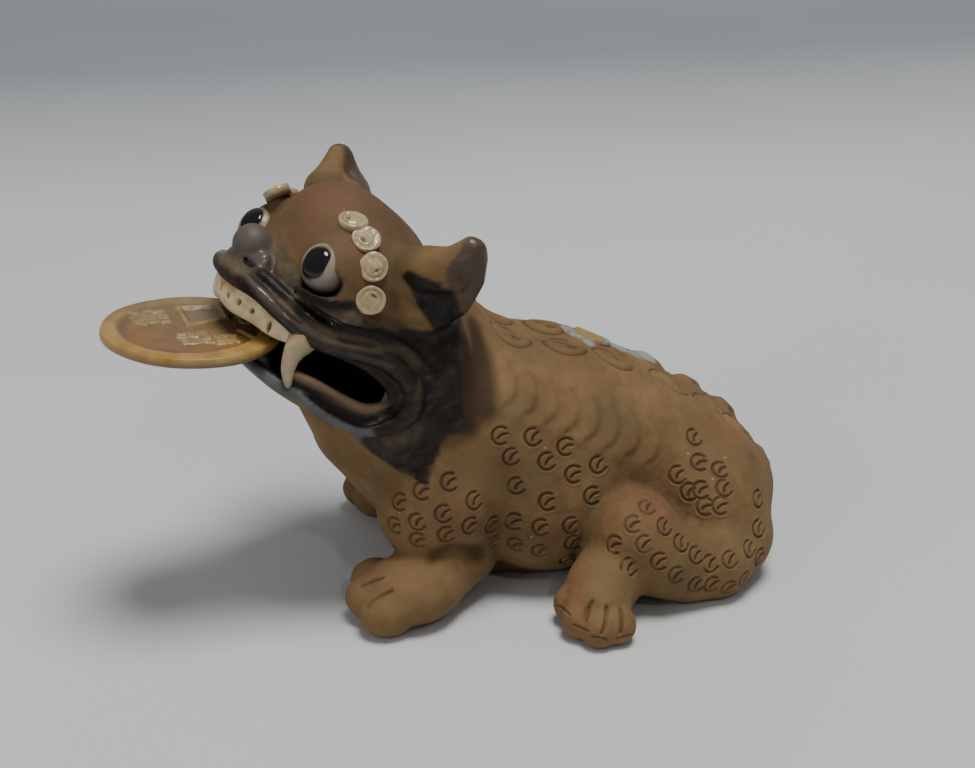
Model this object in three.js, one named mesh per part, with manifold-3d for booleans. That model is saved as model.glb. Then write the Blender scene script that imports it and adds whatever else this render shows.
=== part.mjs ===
// Ceramic foo dog, crouching, with a coin held level in its open mouth.
// Millimetres, +Z up, the body faces -Y and the animal's left side is +X.
// The origin is the middle of the bounding box, on the ground.
import * as THREE from "three";
import { mergeVertices } from "three/addons/utils/BufferGeometryUtils.js";
import Module from "manifold-3d";

const wasm = await Module();
wasm.setup();

// Driving sizes
const SKIN_STEP = 1.3; // spacing of the net that is laid over the modelled clay
const SKIN_TRIANGLES = 5300; // triangles left in that skin after thinning
const SHORTEST_EDGE = 0.3;
const HEAD_TURN = 16; // degrees the head turns to its left
const HEAD_TILT = 30; // degrees the muzzle points up
const NECK = [0, -12, 0]; // the axis that the head turns about
const HEAD_REACH = 27; // from that axis forward to the middle of the head
const HEAD_HEIGHT = 73.3; // middle of the head above the ground
const COIN_RADIUS = 20.2;
const COIN_THICK = 2.8;
const COIN_REACH = 51.1; // from the neck axis forward to the middle of the coin
const COIN_HEIGHT = 69;
const COIN_TILT = 4; // degrees its front edge is up
const COIN_RIM = 3.2;
const COIN_FRAME = 11; // outer side of the square frame on the coin
const GAP = 0.3; // left between the coin and the figure
const EYE = [17.6, 4.3, 12];
const EYE_RADII = [5.9, 5.8, 6];
const ROSETTE_RADIUS = 3.5;
const DISC_RADIUS = 5.2;

// The head's own frame: u to its left, p out along the muzzle, q up through the crown
const turn = THREE.MathUtils.degToRad(HEAD_TURN);
const tilt = THREE.MathUtils.degToRad(HEAD_TILT);
const face = new THREE.Vector3(Math.sin(turn), -Math.cos(turn), 0);
const side = new THREE.Vector3(Math.cos(turn), Math.sin(turn), 0);
const muzzle = face.clone().multiplyScalar(Math.cos(tilt)).setZ(Math.sin(tilt));
const crown = face.clone().multiplyScalar(-Math.sin(tilt)).setZ(Math.cos(tilt));
const headMiddle = new THREE.Vector3(...NECK)
  .addScaledVector(face, HEAD_REACH)
  .setZ(HEAD_HEIGHT);
const headFrame = new THREE.Matrix4()
  .makeBasis(side, muzzle, crown)
  .setPosition(headMiddle);
const intoHead = headFrame.clone().invert().elements;

// Distance to simple forms, negative inside. A point is [x, y, z, 1 or -1 for the side].
function ball(c, r) {
  return (p) => {
    const x = (p[0] - c[0]) / r[0];
    const y = (p[1] - c[1]) / r[1];
    const z = (p[2] - c[2]) / r[2];
    const near = Math.sqrt(x * x + y * y + z * z);
    const slope = Math.sqrt((x / r[0]) ** 2 + (y / r[1]) ** 2 + (z / r[2]) ** 2);
    return (near * (near - 1)) / Math.max(slope, 1e-6);
  };
}

// Roll of clay through knots [x, y, z, radius]
function roll(...knots) {
  const spans = knots.slice(1).map((b, i) => {
    const a = knots[i];
    const d = [b[0] - a[0], b[1] - a[1], b[2] - a[2]];
    return { a, d, grow: b[3] - a[3], square: d[0] ** 2 + d[1] ** 2 + d[2] ** 2 };
  });
  return (p) => {
    let best = Infinity;
    for (const { a, d, grow, square } of spans) {
      const x = p[0] - a[0];
      const y = p[1] - a[1];
      const z = p[2] - a[2];
      const t = Math.min(Math.max((x * d[0] + y * d[1] + z * d[2]) / square, 0), 1);
      const off = (x - t * d[0]) ** 2 + (y - t * d[1]) ** 2 + (z - t * d[2]) ** 2;
      best = Math.min(best, Math.sqrt(off) - a[3] - grow * t);
    }
    return best;
  };
}

// Block with rounded edges
function block(c, half, round) {
  return (p) => {
    const q = [0, 1, 2].map((i) => Math.abs(p[i] - c[i]) - half[i] + round);
    const out = Math.hypot(Math.max(q[0], 0), Math.max(q[1], 0), Math.max(q[2], 0));
    return out + Math.min(Math.max(q[0], q[1], q[2]), 0) - round;
  };
}

// Smooth union and smooth cut, k is the width of the fillet
function join(a, b, k) {
  const h = Math.min(Math.max(0.5 + (0.5 * (b - a)) / k, 0), 1);
  return b * (1 - h) + a * h - k * h * (1 - h);
}
const cut = (a, b, k) => -join(-a, b, k);

// The far side of the figure differs from the near side by a small shift
const far = (form, by) => (p) =>
  form(p[3] < 0 ? [p[0] - by[0], p[1] - by[1], p[2] - by[2], 1] : p);
const sided = (near, other) => (p) => (p[3] < 0 ? other : near)(p);
const oneSided = (form) => (p) => form([p[0] * p[3], p[1], p[2], 1]);
const together = (k, ...forms) => (p) =>
  forms.map((form) => form(p)).reduce((a, b) => join(a, b, k));

// Head, in its own frame, both sides alike: [what, form, fillet]
const EAR_SHIFT = [0.5, 4.4, 1];
const EARS = far(
  together(
    2,
    // Front wall, its flap over the hollow, then the back wall
    roll([20, -12.5, 17.5, 6], [26.5, -13, 21.5, 4.8], [31, -15, 25, 3.6], [33.6, -15.8, 29.6, 2.6]),
    roll([27.6, -13.2, 20.4, 3.6], [32.6, -17.4, 21, 2.5]),
    roll([21, -21, 13, 6.5], [27.5, -22, 17, 4], [32, -20.6, 23.5, 3], [34, -17.2, 29.6, 2.4]),
    roll([21, -20, 19, 6], [28, -21.5, 24, 3.6], [33, -18.5, 28, 2.4]),
    roll([22, -16, 15, 7], [28, -18, 21, 4.6]),
  ),
  EAR_SHIFT,
);
const EAR_HOLLOWS = far(
  together(
    1,
    roll(
      [28.2, -10.8, 13.4, 2.2],
      [32, -16.6, 14.6, 3.4],
      [34.9, -21.2, 18.8, 2.8],
      [37.2, -19.8, 25.8, 1.8],
    ),
    roll([31.5, -18, 13.8, 3.4], [29.4, -20.6, 10.6, 2.6]),
  ),
  EAR_SHIFT,
);
const LIPS = roll(
  [0, 17.3, 0.6, 2.1],
  [6, 16.8, 0.8, 2],
  [12.5, 13.8, 0.3, 1.8],
  [17.5, 9.2, -1.7, 1.8],
  [20.8, 3, -3.5, 1.8],
  [22.8, -3.5, -3.2, 2],
  [24, -10, -2, 2.3],
  [25.2, -17, -1.8, 2.5],
  [26.3, -23.2, -4.6, 2.6],
  [26.5, -25.2, -9.5, 2.6],
  [25.4, -23.4, -14.4, 2.5],
  [24, -17.5, -17.3, 2.4],
  [23, -10, -17.4, 2.3],
  [21.8, -3, -16.6, 2.2],
  [18, 3, -16.3, 1.9],
  [12, 6.5, -15.8, 1.7],
  [0, 8.5, -15.5, 1.7],
);
const INNER_LIP = roll(
  [20, 1.6, -12.8, 1.5],
  [21.8, -4, -13, 1.5],
  [22.8, -14.5, -14.2, 1.5],
  [23, -19.4, -12.8, 1.5],
  [22.9, -21.2, -9, 1.5],
);
const CHEEK_ROLL = roll([17.8, 9.5, 5.2, 1.5], [21, 4, 4.6, 1.8], [23, -2, 4, 1.9], [24, -8, 4.6, 1.9]);
const CHEEK_GROOVE = roll(
  [18.3, 9, 3, 0.5],
  [21.4, 4.2, 1.9, 0.9],
  [23.8, -1.5, 1, 1],
  [25.2, -7, 1.6, 1],
  [25.9, -13, 3.2, 0.9],
  [26.5, -22, 4, 0.3],
);
const TONGUE = ball([0, -14, -8], [9, 14, 12]);
const MOUTH_SIDES = ball([0, -3, -10.2], [40, 22, 4.9]);
const MOUTH_FRONT = ball([0, 14, -10.5], [15, 16, 5]);
const mouth = (p) => {
  const sides = Math.max(cut(MOUTH_SIDES(p), TONGUE(p), 3), -(p[1] + 26));
  return join(sides, MOUTH_FRONT(p), 3);
};
const EYE_SHIFT = [-1.2, 1.6, -3];
const BROWS = sided(
  roll([14, 2.2, 19.6, 3], [16.5, -1.3, 18.9, 3], [20.2, -4.1, 15.6, 3], [22.3, -6.1, 10, 2.8]),
  roll([15.3, 6.4, 16.6, 2.2], [17.9, 2.6, 15.9, 2.7], [20.5, -2, 13.3, 3], [22.2, -4.6, 9.5, 2.8]),
);
const HEAD = [
  ["add", ball([0, -12, 2], [24, 25, 15]), 1],
  ["add", ball([0, -3.4, 12.4], [20, 13, 16.4]), 5], // forehead
  ["add", ball([0, -13.5, 10.2], [21, 14.6, 16.2]), 6], // crown
  ["add", ball([14.5, -6, 11], [10, 9.5, 10.5]), 4], // brows
  ["add", ball([0, -14, -1], [22.8, 31, 6]), 3], // muzzle
  ["add", ball([0, -14, -3], [21.5, 31.5, 5.5]), 1], // gums
  ["add", ball([15, -27, -4], [12.5, 13.5, 19]), 5], // jowls
  ["add", ball([17.5, -30, -17], [9.5, 9, 9.5]), 3],
  ["add", ball([0, -16, -16.5], [22.6, 23.5, 3.8]), 3], // lower jaw
  ["add", roll([0, 10.5, 6, 5], [0, 3.5, 8.5, 7]), 3], // bridge of the nose
  ["cut", mouth, 1.2],
  ["add", LIPS, 1],
  ["add", CHEEK_ROLL, 1.5],
  ["add", INNER_LIP, 1.2],
  ["cut", CHEEK_GROOVE, 1.2],
  ["add", ball([0, 13.8, 8], [5.6, 4.9, 5]), 1.2], // nose
  ["add", ball([6, 12.6, 5.6], [3, 3.3, 3.4]), 1.2],
  ["cut", ball([4.6, 17.2, 3.4], [2, 2.2, 1.3]), 0.6], // nostrils
  ["add", far(ball([17, 1.4, 11.6], [7.4, 7.6, 7.8]), [0.6, 0.4, -2.4]), 3], // eyelids
  ["add", BROWS, 2],
  ["cut", far(ball([18.6, 5, 11.3], [6.6, 6.4, 6.7]), EYE_SHIFT), 1.2], // eye sockets
  ["add", EARS, 2.5],
  ["cut", EAR_HOLLOWS, 1],
];

// Body, in the figure's frame, both sides alike
const PAW_SHIFT = [-3, 5, 0];
const PAWS = far(
  together(
    1.2,
    ball([30, -15, 7.5], [10.5, 11.5, 8]),
    ball([22.5, -22.5, 6.2], [5.4, 6.2, 5.4]),
    ball([29, -24.5, 5.8], [5.4, 6.2, 5.4]),
    ball([35.8, -21.5, 5.2], [5.8, 6.7, 5.8]),
  ),
  PAW_SHIFT,
);
const HIND_FEET = together(
  1,
  roll([31, 35, 12, 8.8], [38, 28.2, 8, 8.4], [42, 26.6, 6, 7.8]),
  ball([38.5, 21.4, 4.6], [4.6, 4.6, 4.8]),
  ball([45, 21.8, 4.2], [4.6, 4.6, 4.8]),
  ball([49.2, 25.4, 4], [4.5, 4.5, 4.8]),
  ball([48.6, 29.8, 4.2], [4.4, 4.3, 4.8]),
);
const BACK = roll(
  [6, -6, 36.5, 20],
  [6, 8, 37.5, 21],
  [6, 24, 34.5, 21],
  [6, 38, 28.8, 20],
  [6, 50, 22.6, 18.5],
  [6, 60, 16.8, 16.3],
  [5, 65.5, 14.6, 14.4],
);
const HAUNCH = roll(
  [9, 64.6, 12.5, 12.8],
  [21.5, 62.4, 10.4, 12.4],
  [28.4, 57, 8.4, 11],
  [30.8, 50.5, 8.4, 9.8],
  [32, 43.5, 12, 10.2],
  [30.5, 38, 16.8, 11.3],
);
const BODY = [
  ["add", BACK, 1],
  ["add", block([0, 30, 6], [14, 34, 12], 6), 4], // belly, flat on the ground
  ["add", ball([8, 21, 20], [22.8, 24, 19.8]), 6], // flanks
  ["add", roll([4, -1, 18, 16], [4, -8, 30, 16]), 5], // chest
  ["add", oneSided(roll([0, -6, 24, 16.5], [2.5, -19.5, 40, 15.8], [4.5, -26.5, 52, 13.5])), 4],
  ["add", roll([4, -3, 40, 21], [2, -14, 60, 20]), 6], // neck
  ["add", ball([21.8, -7, 24.5], [11.5, 15, 15]), 5], // shoulders
  ["add", roll([20.5, -1.5, 11, 8.4], [27.4, -10, 9, 8.8]), 2], // forelegs
  ["add", PAWS, 2],
  ["add", ball([13.5, 59, 17], [19.5, 16, 16.5]), 5], // rump
  ["add", HAUNCH, 2],
  ["add", HIND_FEET, 2],
];

const model = (steps, p) =>
  steps.reduce((d, [what, form, k]) => (what === "add" ? join : cut)(d, form(p), k), 99);

// Distance to the whole figure at a point of its frame
function clay(x, y, z) {
  const m = intoHead;
  const u = m[0] * x + m[4] * y + m[8] * z + m[12];
  const p = m[1] * x + m[5] * y + m[9] * z + m[13];
  const q = m[2] * x + m[6] * y + m[10] * z + m[14];
  const body = model(BODY, [Math.abs(x), y, z, x < 0 ? -1 : 1]);
  if (u * u + p * p + q * q > 70 ** 2) return body;
  return join(body, model(HEAD, [Math.abs(u), p, q, u < 0 ? -1 : 1]), 3);
}

// Net of quads over the surface of a distance function, one vertex in each crossed cell
function net(distance, low, high, step) {
  const n = low.map((v, i) => Math.ceil((high[i] - v) / step) + 1);
  const at = (i, j, k) => (i * n[1] + j) * n[2] + k;
  const value = new Float32Array(n[0] * n[1] * n[2]);
  for (let i = 0; i < n[0]; i++)
    for (let j = 0; j < n[1]; j++)
      for (let k = 0; k < n[2]; k++)
        value[at(i, j, k)] = distance(low[0] + i * step, low[1] + j * step, low[2] + k * step);
  const stride = [n[1] * n[2], n[2], 1];
  fillPinches(value, stride);
  const vertex = new Int32Array(value.length).fill(-1);
  const points = [];
  for (let i = 0; i < n[0] - 1; i++)
    for (let j = 0; j < n[1] - 1; j++)
      for (let k = 0; k < n[2] - 1; k++) {
        const sum = [0, 0, 0];
        let hits = 0;
        for (let corner = 0; corner < 8; corner++) {
          const c = [corner & 1, (corner >> 1) & 1, (corner >> 2) & 1];
          for (let axis = 0; axis < 3; axis++) {
            if (c[axis]) continue;
            const start = at(i + c[0], j + c[1], k + c[2]);
            const a = value[start];
            const b = value[start + stride[axis]];
            if (a < 0 === b < 0) continue;
            const spot = [...c];
            spot[axis] = a / (a - b);
            spot.forEach((v, s) => (sum[s] += v));
            hits++;
          }
        }
        if (!hits) continue;
        vertex[at(i, j, k)] = points.length;
        points.push([i, j, k].map((v, s) => low[s] + (v + sum[s] / hits) * step));
      }
  const faces = [];
  for (let axis = 0; axis < 3; axis++) {
    const [s, t] = [stride[(axis + 1) % 3], stride[(axis + 2) % 3]];
    for (let cell = s + t; cell < value.length - stride[axis]; cell++) {
      const inside = value[cell] < 0;
      if (inside === value[cell + stride[axis]] < 0) continue;
      const quad = [cell - s - t, cell - t, cell, cell - s].map((c) => vertex[c]);
      if (!inside) quad.reverse();
      faces.push([quad[0], quad[1], quad[2]], [quad[0], quad[2], quad[3]]);
    }
  }
  return { points, faces };
}

// Fills grid points where two lumps of clay would touch only along an edge or at a corner
function fillPinches(value, [sx, sy, sz]) {
  const inside = (i) => value[i] < 0;
  const fill = (i) => (value[i] = -1e-3);
  const squares = [
    [sx, sy],
    [sy, sz],
    [sz, sx],
  ];
  const diagonals = [
    [0, sx, sx + sy, sx + sy + sz],
    [sx, 0, sy, sy + sz],
    [sy, sx + sy, sx, sx + sz],
    [sz, sx + sz, sx, sx + sy],
  ];
  const corners = [0, sx, sy, sz, sx + sy, sy + sz, sz + sx, sx + sy + sz];
  for (let found = true; found; ) {
    found = false;
    for (let i = 0; i < value.length - corners[7]; i++) {
      for (const [s, t] of squares) {
        const start = inside(i);
        if (start !== inside(i + s + t) || start === inside(i + s) || start === inside(i + t)) continue;
        fill(start ? i + s : i);
        found = true;
      }
      const count = corners.filter((c) => inside(i + c)).length;
      if (count !== 2 && count !== 6) continue;
      for (const [a, b, c, d] of diagonals) {
        if (inside(i + a) !== inside(i + d) || inside(i + a) !== (count === 2)) continue;
        for (const corner of count === 2 ? [b, c] : [a]) fill(i + corner);
        found = true;
      }
    }
  }
}

// Thins a closed mesh by joining the ends of the edges that matter least to its form,
// down to a number of triangles, or all edges under a length
function thin({ points, faces }, target, longest = Infinity) {
  const around = points.map(() => new Set());
  const error = points.map(([x, y, z]) => planeError([0, 0, 0, 0], 0, [x, y, z], 0.002));
  faces.forEach((f, i) => {
    const [normal, area] = facing(f.map((v) => points[v]));
    const plane = [...normal, -dot(normal, points[f[0]])];
    for (const v of f) {
      around[v].add(i);
      add(error[v], planeError(plane, area, points[f[0]], 0));
    }
  });
  const stamp = new Int32Array(points.length);
  const heap = [];
  const neighbours = (v) => new Set([...around[v]].flatMap((i) => faces[i]).filter((w) => w !== v));
  const offer = (a, b) => {
    if (Math.hypot(...points[a].map((v, i) => v - points[b][i])) > longest) return;
    const sum = error[a].map((v, i) => v + error[b][i]);
    const spot = lowest(sum, points[a].map((v, i) => (v + points[b][i]) / 2));
    if (onGround(points[a]) || onGround(points[b])) spot[2] = 0;
    push(heap, { a, b, spot, cost: cost(sum, spot), when: stamp[a] + stamp[b] });
  };
  points.forEach((_, a) => {
    for (const b of neighbours(a)) if (a < b) offer(a, b);
  });
  let left = faces.length;
  while (left > target && heap.length) {
    const { a, b, spot, when } = pop(heap);
    if (when !== stamp[a] + stamp[b] || !around[a].size || !around[b].size) continue;
    const shared = [...around[a]].filter((i) => around[b].has(i));
    const mates = neighbours(b);
    if ([...neighbours(a)].filter((v) => mates.has(v)).length !== 2) continue;
    const flips = [a, b].some((v) =>
      [...around[v]].some((i) => {
        if (shared.includes(i)) return false;
        const [before, size] = facing(faces[i].map((w) => points[w]));
        const [after, area] = facing(faces[i].map((w) => (w === v ? spot : points[w])));
        return area < Math.min(SLIVER, size) || (size > SLIVER && dot(before, after) < 0.5);
      }),
    );
    if (flips) continue;
    points[a] = spot;
    add(error[a], error[b]);
    for (const i of shared) {
      for (const v of faces[i]) around[v].delete(i);
      faces[i] = null;
    }
    for (const i of around[b]) {
      faces[i] = faces[i].map((v) => (v === b ? a : v));
      around[a].add(i);
    }
    around[b].clear();
    left -= shared.length;
    stamp[a]++;
    for (const v of neighbours(a)) {
      stamp[v]++;
      for (const w of neighbours(v)) offer(v, w);
    }
  }
  return { points, faces: faces.filter(Boolean) };
}

const SLIVER = 1e-3; // area of a triangle that shows no form
const onGround = (p) => Math.abs(p[2]) < 1e-4;

function dot(a, b) {
  return a[0] * b[0] + a[1] * b[1] + a[2] * b[2];
}

function facing([a, b, c]) {
  const s = b.map((v, i) => v - a[i]);
  const t = c.map((v, i) => v - a[i]);
  const n = [s[1] * t[2] - s[2] * t[1], s[2] * t[0] - s[0] * t[2], s[0] * t[1] - s[1] * t[0]];
  const size = Math.hypot(...n) || 1e-12;
  return [n.map((v) => v / size), size / 2];
}

// Squared distance from a plane, plus a small pull towards a point, as ten coefficients
function planeError([a, b, c, d], weight, [x, y, z], pull) {
  const w = weight;
  return [
    a * a * w + pull,
    a * b * w,
    a * c * w,
    a * d * w - x * pull,
    b * b * w + pull,
    b * c * w,
    b * d * w - y * pull,
    c * c * w + pull,
    c * d * w - z * pull,
    d * d * w + (x * x + y * y + z * z) * pull,
  ];
}

function add(sum, more) {
  for (let i = 0; i < sum.length; i++) sum[i] += more[i];
}

function cost(q, [x, y, z]) {
  const linear = 2 * (q[3] * x + q[6] * y + q[8] * z) + q[9];
  const crossed = 2 * (q[1] * x * y + q[2] * x * z + q[5] * y * z);
  return q[0] * x * x + q[4] * y * y + q[7] * z * z + crossed + linear;
}

// Where the error is least, or the fallback when that is not a clear place
function lowest(q, fallback) {
  const m = new THREE.Matrix3().set(q[0], q[1], q[2], q[1], q[4], q[5], q[2], q[5], q[7]);
  if (Math.abs(m.determinant()) < 1e-12) return fallback;
  const spot = new THREE.Vector3(-q[3], -q[6], -q[8]).applyMatrix3(m.invert());
  const moved = spot.distanceTo(new THREE.Vector3(...fallback));
  return moved < 4 ? spot.toArray() : fallback;
}

function push(heap, item) {
  let i = heap.push(item) - 1;
  while (i > 0) {
    const up = (i - 1) >> 1;
    if (heap[up].cost <= heap[i].cost) break;
    [heap[up], heap[i]] = [heap[i], heap[up]];
    i = up;
  }
}

function pop(heap) {
  const top = heap[0];
  const last = heap.pop();
  if (heap.length) {
    heap[0] = last;
    let i = 0;
    for (;;) {
      let least = i;
      for (const c of [2 * i + 1, 2 * i + 2])
        if (c < heap.length && heap[c].cost < heap[least].cost) least = c;
      if (least === i) break;
      [heap[least], heap[i]] = [heap[i], heap[least]];
      i = least;
    }
  }
  return top;
}

// Solids that are joined to the skin
function solid(geometry, matrix = new THREE.Matrix4()) {
  const placed = new THREE.BufferGeometry();
  const plain = geometry.index ? geometry.toNonIndexed() : geometry;
  placed.setAttribute("position", plain.getAttribute("position").clone());
  placed.applyMatrix4(matrix);
  const merged = mergeVertices(placed, 1e-4);
  const vertProperties = merged.getAttribute("position").array;
  const triVerts = new Uint32Array(merged.index.array);
  const make = () => new wasm.Manifold(new wasm.Mesh({ numProp: 3, vertProperties, triVerts }));
  const made = make();
  if (made.volume() > 0) return made;
  triVerts.reverse();
  return make();
}

function solidOfFaces({ points, faces }) {
  const geometry = new THREE.BufferGeometry();
  geometry.setAttribute("position", new THREE.Float32BufferAttribute(points.flat(), 3));
  geometry.setIndex(faces.flat());
  return solid(geometry);
}

// Closed band through rings of points, with a fan at each end
function sweep(rings) {
  const n = rings[0].length;
  const faces = [];
  for (let r = 0; r < rings.length - 1; r++)
    for (let i = 0; i < n; i++) {
      const [a, b] = [r * n + i, r * n + ((i + 1) % n)];
      faces.push([a, b, b + n], [a, b + n, a + n]);
    }
  const last = (rings.length - 1) * n;
  for (let i = 1; i < n - 1; i++) faces.push([0, i + 1, i], [last, last + i, last + i + 1]);
  return { points: rings.flat(), faces };
}

// Turned button: a profile of [radius, height] about the Z axis
function button(profile, segments) {
  const points = profile.map(([r, h]) => new THREE.Vector2(r, h));
  return new THREE.LatheGeometry(points, segments).rotateX(Math.PI / 2);
}

// Slides a point along the slope of the clay until it lies on the surface
function settle(point) {
  const spot = new THREE.Vector3(...point);
  const normal = new THREE.Vector3();
  for (let i = 0; i < 12; i++) {
    const { x, y, z } = spot;
    const here = clay(x, y, z);
    const e = 0.2;
    normal
      .set(clay(x + e, y, z) - here, clay(x, y + e, z) - here, clay(x, y, z + e) - here)
      .normalize();
    spot.addScaledVector(normal, -here * 0.8);
  }
  return { spot, normal };
}

function seated(point, sink, facing) {
  const { spot, normal } = settle(point);
  if (facing) normal.copy(facing);
  const lean = new THREE.Quaternion().setFromUnitVectors(new THREE.Vector3(0, 0, 1), normal);
  spot.addScaledVector(normal, -sink);
  return new THREE.Matrix4().compose(spot, lean, new THREE.Vector3(1, 1, 1));
}

const headPoint = (u, p, q) => new THREE.Vector3(u, p, q).applyMatrix4(headFrame).toArray();

// Skin of the figure, cut flat where it stands
const skin = solidOfFaces(thin(net(clay, [-60, -66, -9], [60, 88, 106], SKIN_STEP), SKIN_TRIANGLES));
const ground = solid(new THREE.BoxGeometry(200, 240, 40), new THREE.Matrix4().makeTranslation(0, 10, -20));
let figure = skin;

// Rosettes on the brows, and which way each one faces, in the head's frame
const ROSETTES = [
  [14.6, 2.2, 22.6, -0.1, 0.35, 0.94],
  [18.4, -0.2, 20.9, 0.6, 0.4, 0.69],
  [22.8, -2.6, 16.2, 0.85, 0.5, 0.2],
  [24.9, -4.6, 9.9, 0.86, 0.5, -0.05],
];
const FAR_ROSETTES = [
  [-16, 7.5, 18.6, -0.3, 0.45, 0.85],
  [-19.5, 3.5, 18, -0.55, 0.3, 0.78],
  [-23, -1, 14.5, -0.85, 0.35, 0.4],
  [-25, -4, 9.5, -0.95, 0.2, 0],
];
const rosette = button(
  [
    [0, -1.2],
    [ROSETTE_RADIUS - 0.3, -1.2],
    [ROSETTE_RADIUS, 0.6],
    [ROSETTE_RADIUS - 0.7, 1.4],
    [ROSETTE_RADIUS - 1.7, 1.1],
    [0, 1.8],
  ],
  10,
);
for (const hand of [1, -1]) {
  const eye = new THREE.SphereGeometry(1, 12, 8).rotateX(Math.PI / 2);
  const [u, p, q] = hand > 0 ? EYE : EYE.map((v, i) => v + EYE_SHIFT[i]);
  const eyeAt = new THREE.Matrix4()
    .makeTranslation(hand * u, p, q)
    .scale(new THREE.Vector3(...EYE_RADII))
    .premultiply(headFrame);
  figure = figure.add(solid(eye, eyeAt));
}
for (const [u, p, q, ...faces] of [...ROSETTES, ...FAR_ROSETTES]) {
  const normal = new THREE.Vector3(...faces).transformDirection(headFrame);
  figure = figure.add(solid(rosette, seated(headPoint(u, p, q), 0.3, normal)));
}

// Row of upper teeth under the lip, and the two fangs
const teeth = [];
for (let a = -62; a <= 62.1; a += 6.2) {
  const t = THREE.MathUtils.degToRad(a);
  const ring = [
    [19.2, 28.8, -7.2],
    [21.4, 30.8, -7.0],
    [21.6, 32.2, 0],
    [19.4, 30.4, 0],
  ].map(([across, out, q]) => headPoint(across * Math.sin(t), -14.5 + out * Math.cos(t), q));
  teeth.push(ring);
}
figure = figure.add(solidOfFaces(sweep(teeth)));

function tapered(knots, sides) {
  return knots.map(([u, p, q, r], i) => {
    const next = knots[Math.min(i + 1, knots.length - 1)];
    const last = knots[Math.max(i - 1, 0)];
    const along = new THREE.Vector3(next[0] - last[0], next[1] - last[1], next[2] - last[2]).normalize();
    const a = new THREE.Vector3(0, 1, 0).cross(along).normalize();
    const b = along.clone().cross(a);
    return Array.from({ length: sides }, (_, s) => {
      const t = (2 * Math.PI * s) / sides;
      const spot = new THREE.Vector3(u, p, q);
      spot.addScaledVector(a, r * Math.cos(t)).addScaledVector(b, r * Math.sin(t));
      return headPoint(...spot.toArray());
    });
  });
}
for (const hand of [1, -1]) {
  const knots = [
    [19.8, 4.4, -3, 2.5],
    [20.2, 4.3, -6.5, 2.4],
    [20.5, 4.3, -9.5, 1.9],
    [20.9, 3.6, -12.6, 1.5],
    [21.3, 2.2, -15, 0.7],
  ].map(([u, p, q, r]) => [hand * u, p, q, r]);
  figure = figure.add(solidOfFaces(sweep(tapered(knots, 9))));
}

// Two rows of discs along the back
const DISC_ROWS = [11, 24, 36, 48, 57.5, 66, 73];
const disc = button(
  [
    [0, -1],
    [DISC_RADIUS, -1],
    [DISC_RADIUS, 0.3],
    [DISC_RADIUS - 1, 0.9],
    [0, 1.1],
  ],
  12,
);
for (const hand of [1, -1])
  for (const y of DISC_ROWS) {
    const z = 62 - 0.0098 * (y - 4) ** 2;
    figure = figure.add(solid(disc, seated([hand * 11, y, z], 0)));
  }

// The coin lies level between the upper teeth and the lower lip
const coinAt = new THREE.Matrix4()
  .makeBasis(side, face.clone().negate(), new THREE.Vector3(0, 0, 1))
  .setPosition(new THREE.Vector3(...NECK).addScaledVector(face, COIN_REACH).setZ(COIN_HEIGHT))
  .multiply(new THREE.Matrix4().makeRotationX(-THREE.MathUtils.degToRad(COIN_TILT)));
const coinDisc = (grow) => {
  const [r, h] = [COIN_RADIUS + grow, COIN_THICK / 2 + grow];
  return button(
    [
      [0, -h],
      [r - 0.8, -h],
      [r, -h + 0.8],
      [r, h - 0.8],
      [r - 0.8, h],
      ...(grow ? [] : [[r - COIN_RIM, h], [r - COIN_RIM - 0.5, h - 0.7]]),
      [0, grow ? h : h - 0.7],
    ],
    48,
  );
};
let coin = solid(coinDisc(0), coinAt);
const bar = (x, y, w, d, angle) => {
  const place = new THREE.Matrix4()
    .makeRotationZ(THREE.MathUtils.degToRad(angle))
    .setPosition(x, y, COIN_THICK / 2 - 0.85)
    .premultiply(coinAt);
  return solid(new THREE.BoxGeometry(w, d, 1), place);
};
const half = COIN_FRAME / 2;
for (const [x, y, w, d] of [
  [0, half, COIN_FRAME + 1.2, 1.2],
  [0, -half, COIN_FRAME + 1.2, 1.2],
  [half, 0, 1.2, COIN_FRAME],
  [-half, 0, 1.2, COIN_FRAME],
])
  coin = coin.add(bar(x - 3, y, w, d, 0));

figure = figure.subtract(ground).subtract(solid(coinDisc(GAP), coinAt));
// Without the specks, bubbles and short edges that the joins leave
const largest = (m) => m.decompose().sort((a, b) => b.volume() - a.volume())[0];
const facesOf = (m) => {
  const { vertProperties: v, triVerts: t } = m.getMesh();
  return {
    points: Array.from({ length: v.length / 3 }, (_, i) => [...v.subarray(3 * i, 3 * i + 3)]),
    faces: Array.from({ length: t.length / 3 }, (_, i) => [...t.subarray(3 * i, 3 * i + 3)]),
  };
};
figure = largest(solidOfFaces(thin(facesOf(largest(figure)), 0, SHORTEST_EDGE)));

function meshOf(manifold, name, colour, roughness) {
  const { vertProperties, triVerts, numProp } = manifold.getMesh();
  const geometry = new THREE.BufferGeometry();
  const positions = new THREE.BufferAttribute(new Float32Array(vertProperties), numProp);
  geometry.setAttribute("position", positions);
  geometry.setIndex([...triVerts]);
  const mesh = new THREE.Mesh(geometry, new THREE.MeshStandardMaterial({ color: colour, roughness }));
  mesh.name = name;
  return mesh;
}

const group = new THREE.Group();
group.add(meshOf(figure, "figure", 0x765c40, 0.8));
group.add(meshOf(coin, "coin", 0xaf823c, 0.3));
const middle = new THREE.Box3().setFromObject(group).getCenter(new THREE.Vector3());
for (const mesh of group.children) mesh.geometry.translate(-middle.x, -middle.y, 0);
export default group;
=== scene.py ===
"""Ceramic foo dog, crouching, with a coin held level in its open mouth: its finished surfaces.

The clay is one implicit form, built from the same sizes as the solids, netted, refined
where there is relief, and pressed with stamps, wrinkles, slits and discs."""
import math

import bpy
import numpy as np
from mathutils import Matrix, Vector


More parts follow.
